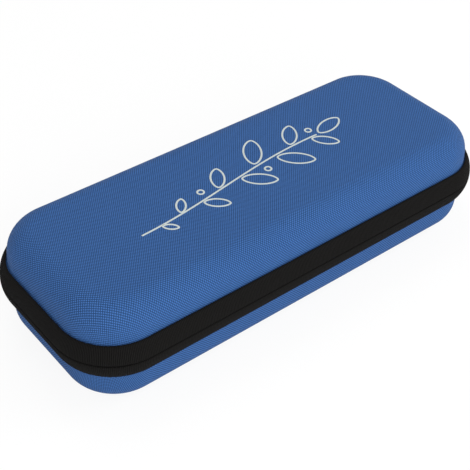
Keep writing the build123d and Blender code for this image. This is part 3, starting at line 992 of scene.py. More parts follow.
def centre_patch(level, flip, along_x, along_y):
    """The flat middle of a shell, on the same divisions as the rounded part round it."""
    x = np.linspace(-FLAT_X, FLAT_X, along_x + 1)
    y = np.linspace(-FLAT_Y, FLAT_Y, along_y + 1)
    flat = np.stack(np.meshgrid(x, y, indexing="ij"), 2)
    z = np.full(flat.shape[:2], PARTING + (-level if flip else level))
    return np.concatenate([flat, z[:, :, None]], 2), flat


def shell_surface(profile, flip):
    """Patches for one side of a shell: its rounded wall, draped with cloth, and its flat middle.

    The profile runs from the flat middle to the rim.
    """
    points, out = ring_stations(*SHELL_PARTS)
    run = length_along(profile)
    level = run[np.isclose(profile[:, 1], profile[0][1])][-1]
    run = np.minimum(run, level) + np.maximum(run - level, 0) / WALL_STRETCH
    inner = points - out * CORNER
    drape = inner[:, None, :] + out[:, None, :] * run[None, :, None]
    middle, flat = centre_patch(profile[0][1], flip, *SHELL_PARTS[:2])
    lean = math.radians(CLOTH_LEAN if flip else -CLOTH_LEAN)
    spin = np.array([(math.cos(lean), -math.sin(lean)), (math.sin(lean), math.cos(lean))])
    spin *= (CLOTH_STRETCH, 1 / CLOTH_STRETCH)
    return [(swept(points, out, profile, flip), drape @ spin), (middle, flat @ spin)]


def skin(name, front, back, flip):
    """A piece as wide as a shell, from the profiles of its two sides, joined at their last points."""
    points, out = ring_stations(*SHELL_PARTS)
    edge = swept(points, out, np.array([front[-1], back[-1]]), flip)
    patches = shell_surface(front, flip) + shell_surface(back, flip)
    return make_mesh(name, [*patches, (edge, along_and_across(edge))])


class CASE_OT_shells(bpy.types.Operator):
    """Make the two shells with their woven face and their lining"""

    bl_idname = "hardcase.shells"
    bl_label = "Shells"

    def execute(self, context):
        for body, flip in HALVES:
            depth = DEPTHS[body]
            face = skin(f"{body}_woven_shell", shell_profile(depth), inside_profile(depth), flip)
            dress(face, "blue_weave", body, f"{body}_shell", slot="woven_shell")
            cover, back = inside_profile(depth, LINING), inside_profile(depth, -LINING_ROOT)
            lining = skin(f"{body}_knit_lining", cover, back, flip)
            dress(lining, "brushed_knit", body, slot="woven_shell")
        return {"FINISHED"}


# ---- The zip tapes and the hinge gusset ----


def tape_section(top):
    """The closed section of a bowed tape up to that height, its edges rounded."""
    low = -BAND_HALF
    heights = np.linspace(low, top, TAPE_PARTS + 1)
    outer = [(bow(z), z) for z in heights]
    inner = [(bow(z, TAPE_THICKNESS), z) for z in heights[::-1]]
    outer[0] = (outer[0][0] + TAPE_EDGE, low)
    outer.insert(1, (bow(low + TAPE_EDGE), low + TAPE_EDGE))
    outer[-1] = (outer[-1][0] + TAPE_EDGE, top)
    outer.insert(-1, (bow(top - TAPE_EDGE), top - TAPE_EDGE))
    return np.array(outer + inner + outer[:1])


def ribbed_strip(name, stations, distances, sections, ribbed, flip=False):
    """A swept strip with ribs across it, on the points of its sections that ribbed picks."""
    sections = np.array(sections)
    wave = np.abs(np.sin(distances / in_mm("rib_pitch") * math.pi)) ** RIB_ROUNDNESS
    sections[:, ribbed, 0] += ((1 - wave) * in_mm("rib_depth"))[:, None]
    return swept_mesh(name, swept(*stations, sections, flip), distances)


class CASE_OT_tapes(bpy.types.Operator):
    """Make the two ribbed zip tapes, spread apart where the sliders are parked"""

    bl_idname = "hardcase.tapes"
    bl_label = "Zip tapes"

    def execute(self, context):
        step = in_mm("rib_pitch") / 4
        distances = np.linspace(0, ZIP_LENGTH, int(ZIP_LENGTH / step) + 1)
        stations = zip_line(distances)
        sections = [tape_section(-TAPE_SLIT - gap) for gap in spread(stations[0])]
        outside = slice(1, TAPE_PARTS + 2)
        for body, flip in HALVES:
            name = f"{body}_ribbed_tape"
            tape = ribbed_strip(name, stations, distances, sections, outside, flip)
            dress(tape, "ribbed_band", body, f"{body}_zip_tape", slot="zip_tape")
        return {"FINISHED"}


class CASE_OT_gusset(bpy.types.Operator):
    """Make the ribbed fabric hinge along the back, between base and lid"""

    bl_idname = "hardcase.gusset"
    bl_label = "Hinge gusset"

    def execute(self, context):
        pitch = in_mm("rib_pitch")
        distances = np.arange(0, 2 * GUSSET_HALF + pitch / 8, pitch / 4)
        distances = distances[distances <= 2 * GUSSET_HALF]
        along = GUSSET_HALF - distances
        stations = np.column_stack([along, np.full(len(along), HALF_WIDTH)])
        stations = stations, np.tile((0.0, 1.0), (len(along), 1))
        wide = np.linspace(FOLD + 0.4, BAND_HALF, 10)
        levels = np.concatenate([-wide[::-1], np.linspace(-FOLD, FOLD, 13), wide])
        outer = [(bow(z), z) for z in levels]
        inner = [(bow(z, GUSSET_THICKNESS), z) for z in levels[::-1]]
        section = np.array(outer + inner + outer[:1])
        sections = np.repeat(section[None], len(distances), 0)
        outside = slice(0, len(levels))
        gusset = ribbed_strip("ribbed_hinge_gusset", stations, distances, sections, outside)
        gusset.data.materials.append(finish("ribbed_band"))
        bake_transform(gusset)
        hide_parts("hinge_gusset")
        return {"FINISHED"}


# ---- The zip coils and their stops ----


def coil_turn():
    """One turn of the nylon coil: it stands on the tape and its head reaches past the parting line."""
    wire = in_mm("coil_wire")
    turn = np.linspace(0, 2 * math.pi, 15)
    head, foot = COIL_HEAD - wire, COIL_FOOT + wire
    x = in_mm("coil_pitch") * (turn / (2 * math.pi) - 0.5) * 0.96
    y = (COIL_THICKNESS / 2 - wire) * np.sin(turn)
    z = (head + foot) / 2 - (head - foot) / 2 * squared(np.cos(turn), 0.7)
    return tube("coil_turn", np.stack([x, y, z], 1), wire, wire * 1.15, up=(1, 0, 0))


class CASE_OT_coils(bpy.types.Operator):
    """Make the two rows of the zip's coil, turn by turn, each on its cord"""

    bl_idname = "hardcase.coils"
    bl_label = "Zip coils"

    def execute(self, context):
        pitch = in_mm("coil_pitch")
        for body, flip in HALVES:
            start = STOP_LENGTH + pitch * (1.5 if flip else 1.0)
            distances = np.arange(start, ZIP_LENGTH - STOP_LENGTH - pitch / 2, pitch)
            points, out = zip_line(distances)
            squeeze = 1 - COIL_SQUEEZE * spread(points) / SPREAD_HEIGHT
            drop = (1 - squeeze) * COIL_HOLD
            z = PARTING + (drop if flip else -drop)
            places = np.column_stack([points - out * COIL_MIDDLE, z])
            scales = np.ones((len(points), 3))
            scales[:, 2] = squeeze
            turns = facing(out, math.pi if flip else 0.0)
            row = repeated(f"{body}_coil_row", coil_turn(), places, turns, "satin_nylon", scales)
            cord = swept(points, out, np.array([(COIL_MIDDLE, CORE_LEVEL)]), flip)[:, 0]
            core = tube(f"{body}_coil_core", cord, CORE_RADIUS)
            core.data.materials.append(finish("satin_nylon"))
            row = joined(f"{body}_coil_row", [row, core])
            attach(row, body)
            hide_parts(f"{body}_zip_coil")
        return {"FINISHED"}


def beside_gusset(side, flip):
    """Turns a stop's own (x, y, z) into its place at one end of a coil row."""

    def place(grid):
        x = grid[..., 0] + side * (GUSSET_HALF + STOP_LENGTH / 2)
        y = HALF_WIDTH - COIL_MIDDLE + grid[..., 1]
        z = PARTING + grid[..., 2] * (-1 if flip else 1)
        return np.stack([x, y, z], -1)

    return place


class CASE_OT_stops(bpy.types.Operator):
    """Make the crimped stops at the ends of each coil row"""

    bl_idname = "hardcase.stops"
    bl_label = "Zip stops"

    def execute(self, context):
        outline = rectangle(STOP_LENGTH / 2, -STOP_HALF, STOP_HALF, 0.35, 3)
        for body, flip in HALVES:
            parts = []
            for side in (-1, 1):
                place = beside_gusset(side, flip)
                parts.append(slab("stop", outline, COIL_FOOT, -0.15, 0.3, place))
                for level in CRIMPS:
                    bar = np.array([(x, STOP_HALF, level) for x in np.linspace(-1.0, 1.0, 5)])
                    parts.append(tube("crimp", place(bar), CRIMP_RADIUS))
            stops = joined(f"{body}_crimped_stops", parts)
            dress(stops, "black_enamel", body, f"{body}_zip_stops", slot="slider_metal")
        return {"FINISHED"}


# ---- The edge bindings ----


def binding_section():
    """The folded binding: over the rim's lip, across its inside and down the wall to the foot."""
    tuck = 0.2  # how deep its back is in what it covers
    lip = bow(RIM_GAP, TAPE_THICKNESS) + BINDING / 2
    rim_inside = bow(RIM_GAP, TAPE_THICKNESS) + RIM_THICKNESS
    foot = WALL_INSIDE + draw_in(-BINDING_FOOT)
    corners = [
        (lip, -RIM_GAP - tuck),
        (rim_inside - tuck, -RIM_GAP - tuck),
        (WALL_INSIDE - tuck, -BAND_HALF),
        (foot - tuck, -BINDING_FOOT),
        (foot + BINDING * 0.8, -BINDING_FOOT),
        (WALL_INSIDE + BINDING, -BAND_HALF),
        (rim_inside + BINDING, BINDING - RIM_GAP),
        (lip, BINDING - RIM_GAP),
    ]
    return closed_line(rounded(corners, [0, 0, 0, 0, 0.35, 3.0, 1.0, 0.35], 5))


class CASE_OT_bindings(bpy.types.Operator):
    """Make the folded binding over each rim's edge, and its row of stitches"""

    bl_idname = "hardcase.bindings"
    bl_label = "Edge bindings"

    def execute(self, context):
        section = binding_section()
        stations = ring_stations(*BINDING_PARTS)
        margin = STITCH_PITCH / 2
        distances = np.arange(margin, ZIP_LENGTH + 2 * GUSSET_HALF - margin, STITCH_PITCH)
        points, out = whole_line(distances)
        seam = np.array([(WALL_INSIDE + BINDING, BINDING_SEAM)])
        for body, flip in HALVES:
            fold = swept(*stations, section, flip)
            fold = swept_mesh(f"{body}_folded_binding", fold, smooth=50)
            dress(fold, "folded_tape", body, f"{body}_binding", slot="binding_tape")
            places = swept(points, out, seam, flip)[:, 0]
            name, turns = f"{body}_binding_stitches", facing(out, math.pi / 2)
            sewing = repeated(name, stitch(*STITCH), places, turns, "sewing_thread")
            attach(sewing, body)
        return {"FINISHED"}


# ---- The net pocket ----


def net_ring():
    """One six-sided cell of the net: its share of the strands round its hole."""
    turns = np.radians(np.arange(0, 361, 60) + 30)
    across = np.stack([np.cos(turns), np.sin(turns)], 1)
    wide, hole = NET_PITCH / math.sqrt(3), NET_HOLE / math.sqrt(3)
    rim, half = hole * 1.12, NET_THICKNESS / 2
    rings = [(wide, half), (rim, half), (hole, 0.0), (rim, -half), (wide, -half), (wide, half)]
    grid = np.stack([np.column_stack([across * reach, np.full(7, z)]) for reach, z in rings])
    return make_mesh("net_cell", [(grid, grid[:, :, :2])])


def merge_cells(mesh):
    """Joins the net's cells along their edges, and takes out the walls that two cells share."""
    edit = bmesh.new()
    edit.from_mesh(mesh)
    bmesh.ops.remove_doubles(edit, verts=edit.verts, dist=1e-5)
    shared = []
    for face in edit.faces:
        ends = [(edge, edge.verts[0].co.z - edge.verts[1].co.z) for edge in face.edges]
        level = [edge for edge, rise in ends if abs(rise) < 1e-6]
        if abs(face.normal.z) < 0.5 and any(len(edge.link_faces) > 2 for edge in level):
            shared.append(face)
    bmesh.ops.delete(edit, geom=shared, context="FACES_ONLY")
    loose = [edge for edge in edit.edges if not edge.link_faces]
    bmesh.ops.delete(edit, geom=loose, context="EDGES")
    bmesh.ops.recalc_face_normals(edit, faces=edit.faces)
    edit.to_mesh(mesh)
    edit.free()


def pocket_outline(inset, front, parts):
    """The pocket's sewn edge in plan: the case's own rounded line from one front end to the other."""
    corner = CORNER - inset
    half_x, back = HALF_LENGTH - inset, HALF_WIDTH - inset
    right = arc((half_x - corner, back - corner), corner, 0, 90, parts)
    left = arc((corner - half_x, back - corner), corner, 90, 180, parts)
    return np.concatenate([[(right[0][0], front)], right, left, [(left[-1][0], front)]])


def inside_pocket(points, inset):
    """Which points are inside the pocket's outline."""
    corner = CORNER - inset
    dx = np.maximum(np.abs(points[:, 0]) - (HALF_LENGTH - inset - corner), 0)
    dy = np.maximum(points[:, 1] - (HALF_WIDTH - inset - corner), 0)
    return (np.hypot(dx, dy) < corner) & (points[:, 1] > NET_FRONT)


def net_places():
    """The middles of the net's cells, in rows that are shifted by half a cell in turn."""
    row_step = NET_PITCH * math.sqrt(3) / 2
    columns = int(HALF_LENGTH / NET_PITCH)
    places = []
    for row in range(int(NET_REACH / row_step)):
        for column in range(-columns, columns + 1):
            x = (column + row % 2 / 2) * NET_PITCH
            places.append((x, NET_START + row * row_step))
    places = np.array(places)
    places = places[inside_pocket(places, NET_INSET + NET_MARGIN + NET_PITCH / 2)]
    return np.column_stack([places, np.full(len(places), NET_LEVEL)])


def hem_seam(edge):
    """Where the stitches lie on the hem's lower side, and how each is turned."""
    run = length_along(edge)
    margin = STITCH_PITCH / 2
    seam = np.arange(margin, run[-1] - margin, STITCH_PITCH)
    at = points_at(edge, run, seam)
    ahead = points_at(edge, run, seam + 0.5) - at
    turns = np.zeros((len(seam), 3))
    turns[:, 0] = math.pi
    turns[:, 2] = np.arctan2(ahead[:, 1], ahead[:, 0])
    return np.column_stack([at, np.full(len(at), SEAM_LEVEL)]), turns


def gathered_elastic():
    """The elastic along the net's open edge, puckered where the net is gathered into it."""
    half_x = HALF_LENGTH - NET_INSET - BINDING - 0.25
    x = np.arange(-half_x, half_x + 0.01, ELASTIC_STEP)
    front, back = NET_FRONT, NET_FRONT + ELASTIC
    low, high = ELASTIC_LEVELS
    section = rounded([(front, low), (back, low), (back, high), (front, high)], 0.5, 4)
    section = resampled(closed_line(section), 0.6)
    middle = section.mean(0)
    pucker = 1 - GATHER * (1 - np.abs(np.sin(x / NET_PITCH * math.pi)))
    pucker -= UNEVEN * np.sin(x * 2.1 + 1.3) ** 2
    scale = np.stack([np.ones_like(pucker), pucker], 1)
    grid = middle + (section - middle)[None] * scale[:, None]
    grid = np.concatenate([np.broadcast_to(x[:, None, None], (*grid.shape[:2], 1)), grid], 2)
    return swept_mesh("gathered_elastic", grid, x)


class CASE_OT_pocket(bpy.types.Operator):
    """Make the net pocket in the lid, with its hem and its gathered elastic"""

    bl_idname = "hardcase.pocket"
    bl_label = "Net pocket"

    def execute(self, context):
        places = net_places()
        net = repeated("pocket_netting", net_ring(), places, (0, 0, 0), "net_yarn")
        merge_cells(net.data)
        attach(net, "lid")
        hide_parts("pocket_net")

        edge = resampled(pocket_outline(NET_INSET + HEM / 2, NET_FRONT + 0.2, 16), 1.5)
        path = np.column_stack([edge, np.full(len(edge), NET_LEVEL + 0.02)])
        hem = flat_band("pocket_hem", path, HEM - 0.4, HEM_THICKNESS)
        dress(hem, "folded_tape", "lid", slot="binding_tape")
        sewing = repeated("pocket_stitches", stitch(*STITCH), *hem_seam(edge), "sewing_thread")
        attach(sewing, "lid")

        elastic = gathered_elastic()
        dress(elastic, "ribbed_elastic", "lid", "pocket_elastic", slot="elastic")
        return {"FINISHED"}


# ---- The holding strap ----


def strap_line():
    """The middle of the strap's thickness, as (y, z), from its sewn end to its free end."""
    half = STRAP_THICKNESS / 2
    low, high = STRAP_LOW + half, STRAP_HIGH + half
    knots = [
        (TAB_END, FLOOR + half),
        (STRAP_SEAM + 1.0, FLOOR + half),
        (STRAP_SEAM - 1.5, low),
        (STRAP_STEP[0], low),
        (STRAP_STEP[1], high),
        (STRAP_END, high),
    ]
    return resampled(rounded(knots, 2, 4, closed=False), 0.5)


def strap_section():
    """A square section with rounded corners, from -1 to 1 both ways, its wide sides divided."""
    flat = rectangle(1, -1, 1, 0.45, 3)
    section = []
    for here, there in zip(flat, np.roll(flat, -1, 0)):
        steps = 10 if abs(there[0] - here[0]) > 0.5 else 1
        section.extend(here + (there - here) * t for t in np.arange(steps) / steps)
    return closed_line(np.array(section))


def strap_mesh():
    """The webbing strap, its free end rounded and its ribs raised across it."""
    line, section = strap_line(), strap_section()
    ahead = headings(line)
    normal = np.stack([ahead[:, 1], -ahead[:, 0]], 1)
    along = length_along(line)
    from_end = np.minimum(along, along[-1] - along)
    rounding = np.where(along > along[-1] / 2, *STRAP_ROUNDING)
    width = STRAP_WIDTH / 2 - rounding * np.clip(1 - from_end / STRAP_TIP, 0, 1) ** 2
    flat_share = 0.9
    across, up = section[:, 0], section[:, 1]
    side = np.sign(across) * np.maximum(0, np.abs(across) - flat_share) / (1 - flat_share)
    x = np.clip(across, -flat_share, flat_share)[None] / flat_share
    x = x * (width - STRAP_SIDE)[:, None] + side[None] * STRAP_SIDE
    rib = STRAP_RIB * np.cos(along / STRAP_RIB_PITCH * 2 * math.pi)
    lift = up[None] * (STRAP_THICKNESS / 2 - STRAP_RIB + rib)[:, None]
    y = line[:, None, 0] + normal[:, None, 0] * lift
    z = line[:, None, 1] + normal[:, None, 1] * lift
    return swept_mesh("webbing_strap", np.stack([x, y, z], 2), along, smooth=50)


def pin(radius, height, head):
    """One hook of the hook tape: a small upright with a rounded head."""
    turn = np.linspace(0, 2 * math.pi, 7)
    round_line = np.column_stack([np.cos(turn), np.sin(turn)])
    rings = [
        (radius * 1.3, 0),
        (radius, height * 0.2),
        (radius, height * 0.75),
        (head, height * 0.85),
        (head * 0.8, height),
        (0.01, height * 1.03),
    ]
    grid = np.stack([np.column_stack([round_line * r, np.full(7, z)]) for r, z in rings])
    return make_mesh("hook", [(grid, grid[:, :, :2])], smooth=60)


def sew(name, seams, level, body):
    """Stitches along seams, each straight between its corners, lying at that level."""
    places, turns = [], []
    for a, b in [pair for corners in seams for pair in zip(corners, corners[1:])]:
        a, b = np.array(a, float), np.array(b, float)
        count = max(1, int(np.linalg.norm(b - a) / STRAP_STITCH_PITCH))
        for t in (np.arange(count) + 0.5) / count:
            places.append((*(a + (b - a) * t), level))
            turns.append((0, 0, math.atan2(*(b - a)[::-1])))
    sewing = repeated(name, stitch(*STRAP_STITCH), places, np.array(turns), "sewing_thread")
    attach(sewing, body)


def box_seam(half_x, back, front):
    """A seam once round a rectangle."""
    return [(-half_x, back), (half_x, back), (half_x, front), (-half_x, front), (-half_x, back)]


class CASE_OT_strap(bpy.types.Operator):
    """Make the holding strap, its stitched end, and its hook and loop patches"""

    bl_idname = "hardcase.strap"
    bl_label = "Holding strap"

    def execute(self, context):
        strap = strap_mesh()
        strap.data.materials.append(finish("strap_weave"))
        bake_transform(strap)
        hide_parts("strap", "strap_tab")
        box = box_seam(*TAB_BOX)
        crossing = [box[0:3:2], box[1:4:2]]
        sew("strap_box_stitch", [box, *crossing], FLOOR + STRAP_THICKNESS + 0.02, "base")
        top = STRAP_HIGH + STRAP_THICKNESS
        sew("strap_patch_stitch", [box_seam(*PATCH_BOX)], top, "strap")

        hook = slab("hook_tape", rectangle(*HOOK_PATCH), HOOK_LOW, STRAP_HIGH, 0.15)
        xs, ys = np.meshgrid(*(np.arange(*ends, HOOK_PITCH) for ends in HOOK_ROWS))
        spots = np.column_stack([xs.ravel(), ys.ravel(), np.full(xs.size, HOOK_LOW + 0.02)])
        hooks = repeated("hooks", pin(*HOOK_PIN), spots, (math.pi, 0, 0), "brushed_pile")
        hook.data.materials.append(finish("brushed_pile"))
        hook = joined("hook_tape", [hook, hooks])
        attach(hook, "strap")
        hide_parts("hook_patch")
        loop = slab("loop_tape", rectangle(*LOOP_PATCH), FLOOR, LOOP_TOP, 0.3)
        dress(loop, "brushed_pile", "base", "loop_patch", slot="touch_tape")
        sew("loop_tape_stitch", [box_seam(*LOOP_BOX)], LOOP_TOP + 0.02, "base")
        return {"FINISHED"}


# ---- The sliders and pulls: x towards the head, y outwards, z across the tapes ----


def on_end(side):
    """Turns a slider's own (x, y, z) into its parked place on the right end of the case."""

    def place(grid):
        x, y, z = grid[..., 0], grid[..., 1], grid[..., 2]
        return np.stack([HALF_LENGTH + y, side * (SLIDER_OFFSET - x), PARTING + z], -1)

    return place


def plate_outline():
    end = SLIDER_LENGTH / 2
    corners = [
        (end, SLIDER_HEAD * 0.7),
        (end - SLIDER_HEAD * 0.5, SLIDER_HEAD),
        (SLIDER_TAIL * 0.4 - end, SLIDER_TAIL),
        (-end, SLIDER_TAIL * 0.6),
    ]
    corners += [(x, -z) for x, z in corners[::-1]]
    return rounded(corners, 1.4, 4)


def slider_parts(place):
    """The two plates, the post, the flanges and the bail of one slider."""

    def plate(name, line, low, high, edge, steps=3):
        def upright(grid):
            level = low + grid[..., 2] * (high - low)
            return place(np.stack([grid[..., 0], level, grid[..., 1]], -1))

        return slab(name, line, 0, 1, edge, upright, steps)

    line = plate_outline()
    parts = [plate("outer_plate", line, PLATE_FOOT, PLATE_TOP, 0.42, 5)]
    crown = inset_outline(line, CROWN_INSET)
    parts.append(plate("crown", crown, PLATE_TOP - 0.35, PLATE_TOP + CROWN, 0.3, 4))
    parts.append(plate("inner_plate", line, -INNER_PLATE - PLATE, -INNER_PLATE, 0.3))
    post = rectangle(POST / 2, -POST / 2, POST / 2, 0.9)
    post = post * (1.0, 0.98) + (SLIDER_LENGTH / 2 - POST_BACK, 0)
    parts.append(plate("post", post, -INNER_PLATE - 0.3, 0.6, 0.02))
    front, back = SLIDER_LENGTH / 2 - SLIDER_HEAD * 0.5, SLIDER_TAIL * 0.4 - SLIDER_LENGTH / 2
    for sign in (-1, 1):
        strip = [(front, SLIDER_HEAD), (back, SLIDER_TAIL)]
        strip += [(back, SLIDER_TAIL - FLANGE), (front, SLIDER_HEAD - FLANGE)]
        strip = rounded([(x, sign * z) for x, z in strip], 0.25, 3)
        parts.append(plate("flange", strip, -INNER_PLATE - 0.4, FLANGE_TOP, 0.12))
    half, foot = (BAIL_SPAN - BAIL_BAR) / 2, PLATE_TOP - 0.5
    arch = [(-half, foot), (-half, BAIL_CENTRE), (half, BAIL_CENTRE), (half, foot)]
    arch = rounded(arch, 1.2, 6, closed=False)
    arch = place(np.column_stack([arch, np.zeros(len(arch))]))
    parts.append(tube("bail", arch, BAIL_BAR / 2 * 0.99, sides=12))
    for sign in (-1, 1):
        boss = arc((sign * half, 0), BAIL_FOOT, 0, 340, 16)
        parts.append(plate("bail_foot", boss, PLATE_TOP - 0.3, PLATE_TOP + 0.45, 0.35))
    return parts


def link_parts(place):
    """The pull's stamped link: an eye round the bail and a tongue that the grip is moulded on."""

    def sideways(grid):
        level = -LINK_HALF + grid[..., 2] * 2 * LINK_HALF
        return place(np.stack([level, BAIL_CENTRE + grid[..., 0], grid[..., 1]], -1))

    turns = np.linspace(0, 2 * math.pi, 33)
    ring = np.stack([np.cos(turns), np.sin(turns)], 1)
    half, edge = LINK_HALF, 0.22
    rows = [
        (EYE_INNER + edge, -half),
        (EYE_OUTER - edge, -half),
        (EYE_OUTER, edge - half),
        (EYE_OUTER, half - edge),
        (EYE_OUTER - edge, half),
        (EYE_INNER + edge, half),
        (EYE_INNER, half - edge),
        (EYE_INNER, edge - half),
        (EYE_INNER + edge, -half),
    ]
    grid = [np.column_stack([np.full(33, x), ring * r + (BAIL_CENTRE, 0)]) for r, x in rows]
    eye = swept_mesh("eye", place(np.stack(grid)), smooth=50)
    return [eye, slab("tongue", rectangle(0.88, -6.0, -1.35, 0.3, 3), 0, 1, 0.15, sideways)]


def grip_mesh(name, place):
    """The moulded grip: waisted, round at its end, with raised bars across its middle."""
    z = np.linspace(GRIP_TOP, GRIP_END, 121)
    shoulder = GRIP_END + GRIP_TIP
    down = np.clip((GRIP_TOP - z) / (GRIP_TOP - shoulder), 0, 1)
    tip = np.clip((shoulder - z) / GRIP_TIP, 0, 1)
    start = 1 - np.clip((GRIP_TOP - z) / 0.8, 0, 1)
    waist = np.sin(np.clip(down * 1.45, 0, 1) * math.pi) ** 1.5
    width = GRIP_HALF - GRIP_WAIST * waist + GRIP_FLARE * down**2
    width = width * np.sqrt(1 - tip**2 * 0.999) * (0.86 + 0.14 * np.sqrt(1 - start**2))
    thick = GRIP_THICK * np.sqrt(1 - start**2 * 0.3) * np.sqrt(1 - tip**4 * 0.9)
    first, last, pitch = GRIP_BARS
    bars = (np.abs(((z - last) / pitch) % 1 - 0.5) < 0.27) & (z < first) & (z > last)
    bars = np.convolve(bars.astype(float), np.ones(3) / 3, mode="same")
    turn = np.linspace(0, 2 * math.pi, 49)
    side, face = squared(np.cos(turn), 0.5), squared(np.sin(turn), 0.55)
    middle = np.clip(1.25 - np.abs(side) * 1.5, 0, 1)
    raised = np.sign(face) * np.clip(np.abs(face) * 4, 0, 1) * middle
    x = width[:, None] * side[None]
    y = BAIL_CENTRE + thick[:, None] * face[None] + bars[:, None] * GRIP_BAR * raised[None]
    grid = np.stack([x, y, np.broadcast_to(z[:, None], x.shape)], 2)
    return swept_mesh(name, place(grid), smooth=50)


class CASE_OT_sliders(bpy.types.Operator):
    """Make the two zip sliders with their bails, links and moulded grips"""

    bl_idname = "hardcase.sliders"
    bl_label = "Sliders and pulls"

    def execute(self, context):
        for name, side in (("rear", 1), ("front", -1)):
            place, pull = on_end(side), f"{name}_pull"
            slider = joined(f"{name}_coil_slider", slider_parts(place))
            dress(slider, "black_enamel", f"{name}_slider", f"{name}_slider", slot="slider_metal")
            link = joined(f"{name}_stamped_link", link_parts(place))
            dress(link, "black_enamel", pull, f"{name}_pull_link", slot="slider_metal")
            grip = grip_mesh(f"{name}_moulded_grip", place)
            dress(grip, "matte_rubber", pull, f"{name}_pull_grip", slot="grip_rubber")
        return {"FINISHED"}


# ---- The print on the lid: a leafy sprig in outline ----


def ribbon(line, width, closed):
    """A printed line: a flat raised ribbon on the lid's top, along a path in plan."""
    line = np.asarray(line, float)
    ahead = headings(line, closed)
    side = np.stack([-ahead[:, 1], ahead[:, 0]], 1)
    half, bevel = width / 2, PRINT_HEIGHT
    rows = [(-half, -PRINT_ROOT), (bevel - half, PRINT_HEIGHT), (half - bevel, PRINT_HEIGHT)]
    rows += [(half, -PRINT_ROOT), (-half, -PRINT_ROOT)]
    top = PARTING + DEPTHS["lid"]
    grid = [np.column_stack([line + side * r, np.full(len(line), top + z)]) for r, z in rows]
    grid = np.stack(grid, 1)
    return swept_mesh("line", closed_line(grid) if closed else grid, smooth=30)


def sprig_bend(x):
    """How far the sprig's stem lies from the case's middle line."""
    return 7.0 * np.sin((x + 20) / 42) - 1.0


def leaf_outline(span, half):
    """A pointed leaf along x, a little way off its stalk's foot."""
    turn = np.linspace(0, math.pi, 17)
    x = span * (0.12 + 0.44 * (1 - np.cos(turn)))
    y = half * np.sin(turn) ** 1.25
    return np.concatenate([np.column_stack([x, y]), np.column_stack([x, -y])[-2:0:-1]])


def turned(line, angle, centre):
    """An outline turned by that angle in degrees, and moved to its centre."""
    c, s = math.cos(math.radians(angle)), math.sin(math.radians(angle))
    x, y = np.asarray(line, float).T
    return np.column_stack([x * c - y * s, x * s + y * c]) + centre


def sprig_lines():
    """The sprig's lines, and whether each is closed: its stem, its leaves and its berries."""
    at = np.linspace(SPRIG_START, SPRIG_END, 60)
    yield np.column_stack([at, sprig_bend(at)]), False
    places = np.linspace(SPRIG_START + 12, SPRIG_END - 6, SPRIG_LEAVES)
    for number, x in enumerate(places):
        side = 1 if number % 2 else -1
        rise = math.degrees(math.atan2(sprig_bend(x + 1) - sprig_bend(x), 1))
        size = 1 - 0.45 * abs(x - 8) / SPRIG_END
        leaf = leaf_outline(*(part * size for part in LEAF))
        yield turned(leaf, rise + side * LEAF_TURN, (x, sprig_bend(x))), True
        if number % 3 == 1:
            along, off = x + BERRY_PLACE[0], side * BERRY_PLACE[1]
            yield arc((along, sprig_bend(along) + off), BERRY, 0, 345, 20), True
    foot = SPRIG_END, sprig_bend(SPRIG_END)
    yield turned(leaf_outline(*LAST_LEAF), LAST_TURN, foot), True


class CASE_OT_print(bpy.types.Operator):
    """Print a leafy sprig in pale outline on the lid"""

    bl_idname = "hardcase.print"
    bl_label = "Lid print"

    def execute(self, context):
        width = in_mm("line_width")
        lines = [ribbon(line, width, closed) for line, closed in sprig_lines()]
        dress(joined("lid_print_lines", lines), "silver_print", "lid", slot="woven_shell")
        return {"FINISHED"}


# ---- The stage ----


def soft_light(name, place, size, power):
    lamp = bpy.data.lights.new(name, "AREA")
    lamp.shape = "DISK"
    lamp.size = size
    lamp.energy = power
    thing = placed(name, lamp)
    thing.location = place
    aim = (Vector(LIT_POINT) - Vector(place)).to_track_quat("-Z", "Y")
    thing.rotation_euler = aim.to_euler()


def white_surround():
    """A plain world: white to the camera and to reflections, soft grey light otherwise."""
    world = bpy.data.worlds.new("surround")
    world.use_nodes = True
    tree = world.node_tree
    tree.nodes.clear()
    rays = tree.nodes.new("ShaderNodeLightPath").outputs
    seen = calc(tree, "MAXIMUM", rays["Is Glossy Ray"], rays["Is Transmission Ray"])
    seen = calc(tree, "MAXIMUM", rays["Is Camera Ray"], seen)
    light = {"Color": (1, 1, 1, 1), "Strength": scaled_between(tree, seen, WORLD_LIGHT, 1.0)}
    light = node(tree, "ShaderNodeBackground", light)
    end = tree.nodes.new("ShaderNodeOutputWorld")
    tree.links.new(light.outputs[0], end.inputs["Surface"])
    bpy.context.scene.world = world


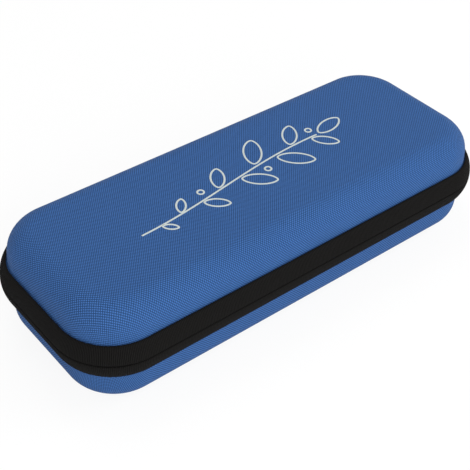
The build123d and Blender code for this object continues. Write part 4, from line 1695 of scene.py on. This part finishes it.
def pale_floor():
    """A floor that takes the soft shadow and is white to the camera elsewhere."""
    values = {"Base_Color": (0.94, 0.94, 0.94, 1), "Roughness": 0.9, "Specular_IOR_Level": 0.1}
    material, tree, shader = blank("floor", **values)
    rays = tree.nodes.new("ShaderNodeLightPath").outputs
    seen = calc(tree, "MULTIPLY", rays["Is Camera Ray"], FLOOR_WHITE)
    glow = node(tree, "ShaderNodeEmission", {"Color": (1, 1, 1, 1), "Strength": 1.0})
    both = node(tree, "ShaderNodeMixShader", (seen, shader.outputs[0], glow.outputs[0]))
    tree.links.new(both.outputs[0], tree.nodes["Material Output"].inputs["Surface"])
    mesh = bpy.data.meshes.new("floor")
    corners = [(-1, -1), (1, -1), (1, 1), (-1, 1)]
    corners = [(x * FLOOR_REACH, y * FLOOR_REACH, 0) for x, y in corners]
    mesh.from_pydata(corners, [], [(0, 1, 2, 3)])
    mesh.materials.append(material)
    floor = placed("floor", mesh)


class CASE_OT_stage(bpy.types.Operator):
    """Set the camera, the soft lights and the pale floor"""

    bl_idname = "hardcase.stage"
    bl_label = "Stage"

    def execute(self, context):
        scene = context.scene
        data = bpy.data.cameras.new("camera")
        data.sensor_width = 36.0
        data.lens = LENS
        camera = placed("camera", data)
        turn = Matrix((CAMERA_RIGHT, CAMERA_UP, CAMERA_BACK)).transposed()
        camera.matrix_world = Matrix.Translation(CAMERA_PLACE) @ turn.to_4x4()
        scene.camera = camera
        scene.view_settings.view_transform = "Standard"
        white_surround()
        pale_floor()
        for light in LIGHTS:
            soft_light(*light)
        return {"FINISHED"}


class CASE_PT_panel(bpy.types.Panel):
    """Lists the sizes, the colours and the pieces"""

    bl_idname = "CASE_PT_panel"
    bl_label = "Hard case"
    bl_space_type = "VIEW_3D"
    bl_region_type = "UI"
    bl_category = "Hard case"

    def draw(self, context):
        for group in (context.scene.case_sizes, context.scene.case_colours):
            for name in group.bl_rna.properties.keys():
                if name not in ("rna_type", "name"):
                    self.layout.prop(group, name)
        for operator in OPERATORS:
            self.layout.operator(operator.bl_idname)


OPERATORS = (
    CASE_OT_stage,
    CASE_OT_shells,
    CASE_OT_tapes,
    CASE_OT_coils,
    CASE_OT_stops,
    CASE_OT_bindings,
    CASE_OT_gusset,
    CASE_OT_pocket,
    CASE_OT_strap,
    CASE_OT_sliders,
    CASE_OT_print,
)
CLASSES = (CaseSizes, CaseColours, *OPERATORS, CASE_PT_panel)


def register():
    for item in CLASSES:
        bpy.utils.register_class(item)
    bpy.types.Scene.case_sizes = PointerProperty(type=CaseSizes)
    bpy.types.Scene.case_colours = PointerProperty(type=CaseColours)


def unregister():
    del bpy.types.Scene.case_colours
    del bpy.types.Scene.case_sizes
    for item in reversed(CLASSES):
        bpy.utils.unregister_class(item)


def main():
    register()
    for operator in OPERATORS:
        group, name = operator.bl_idname.split(".")
        getattr(getattr(bpy.ops, group), name)()


if __name__ == "__main__":
    main()
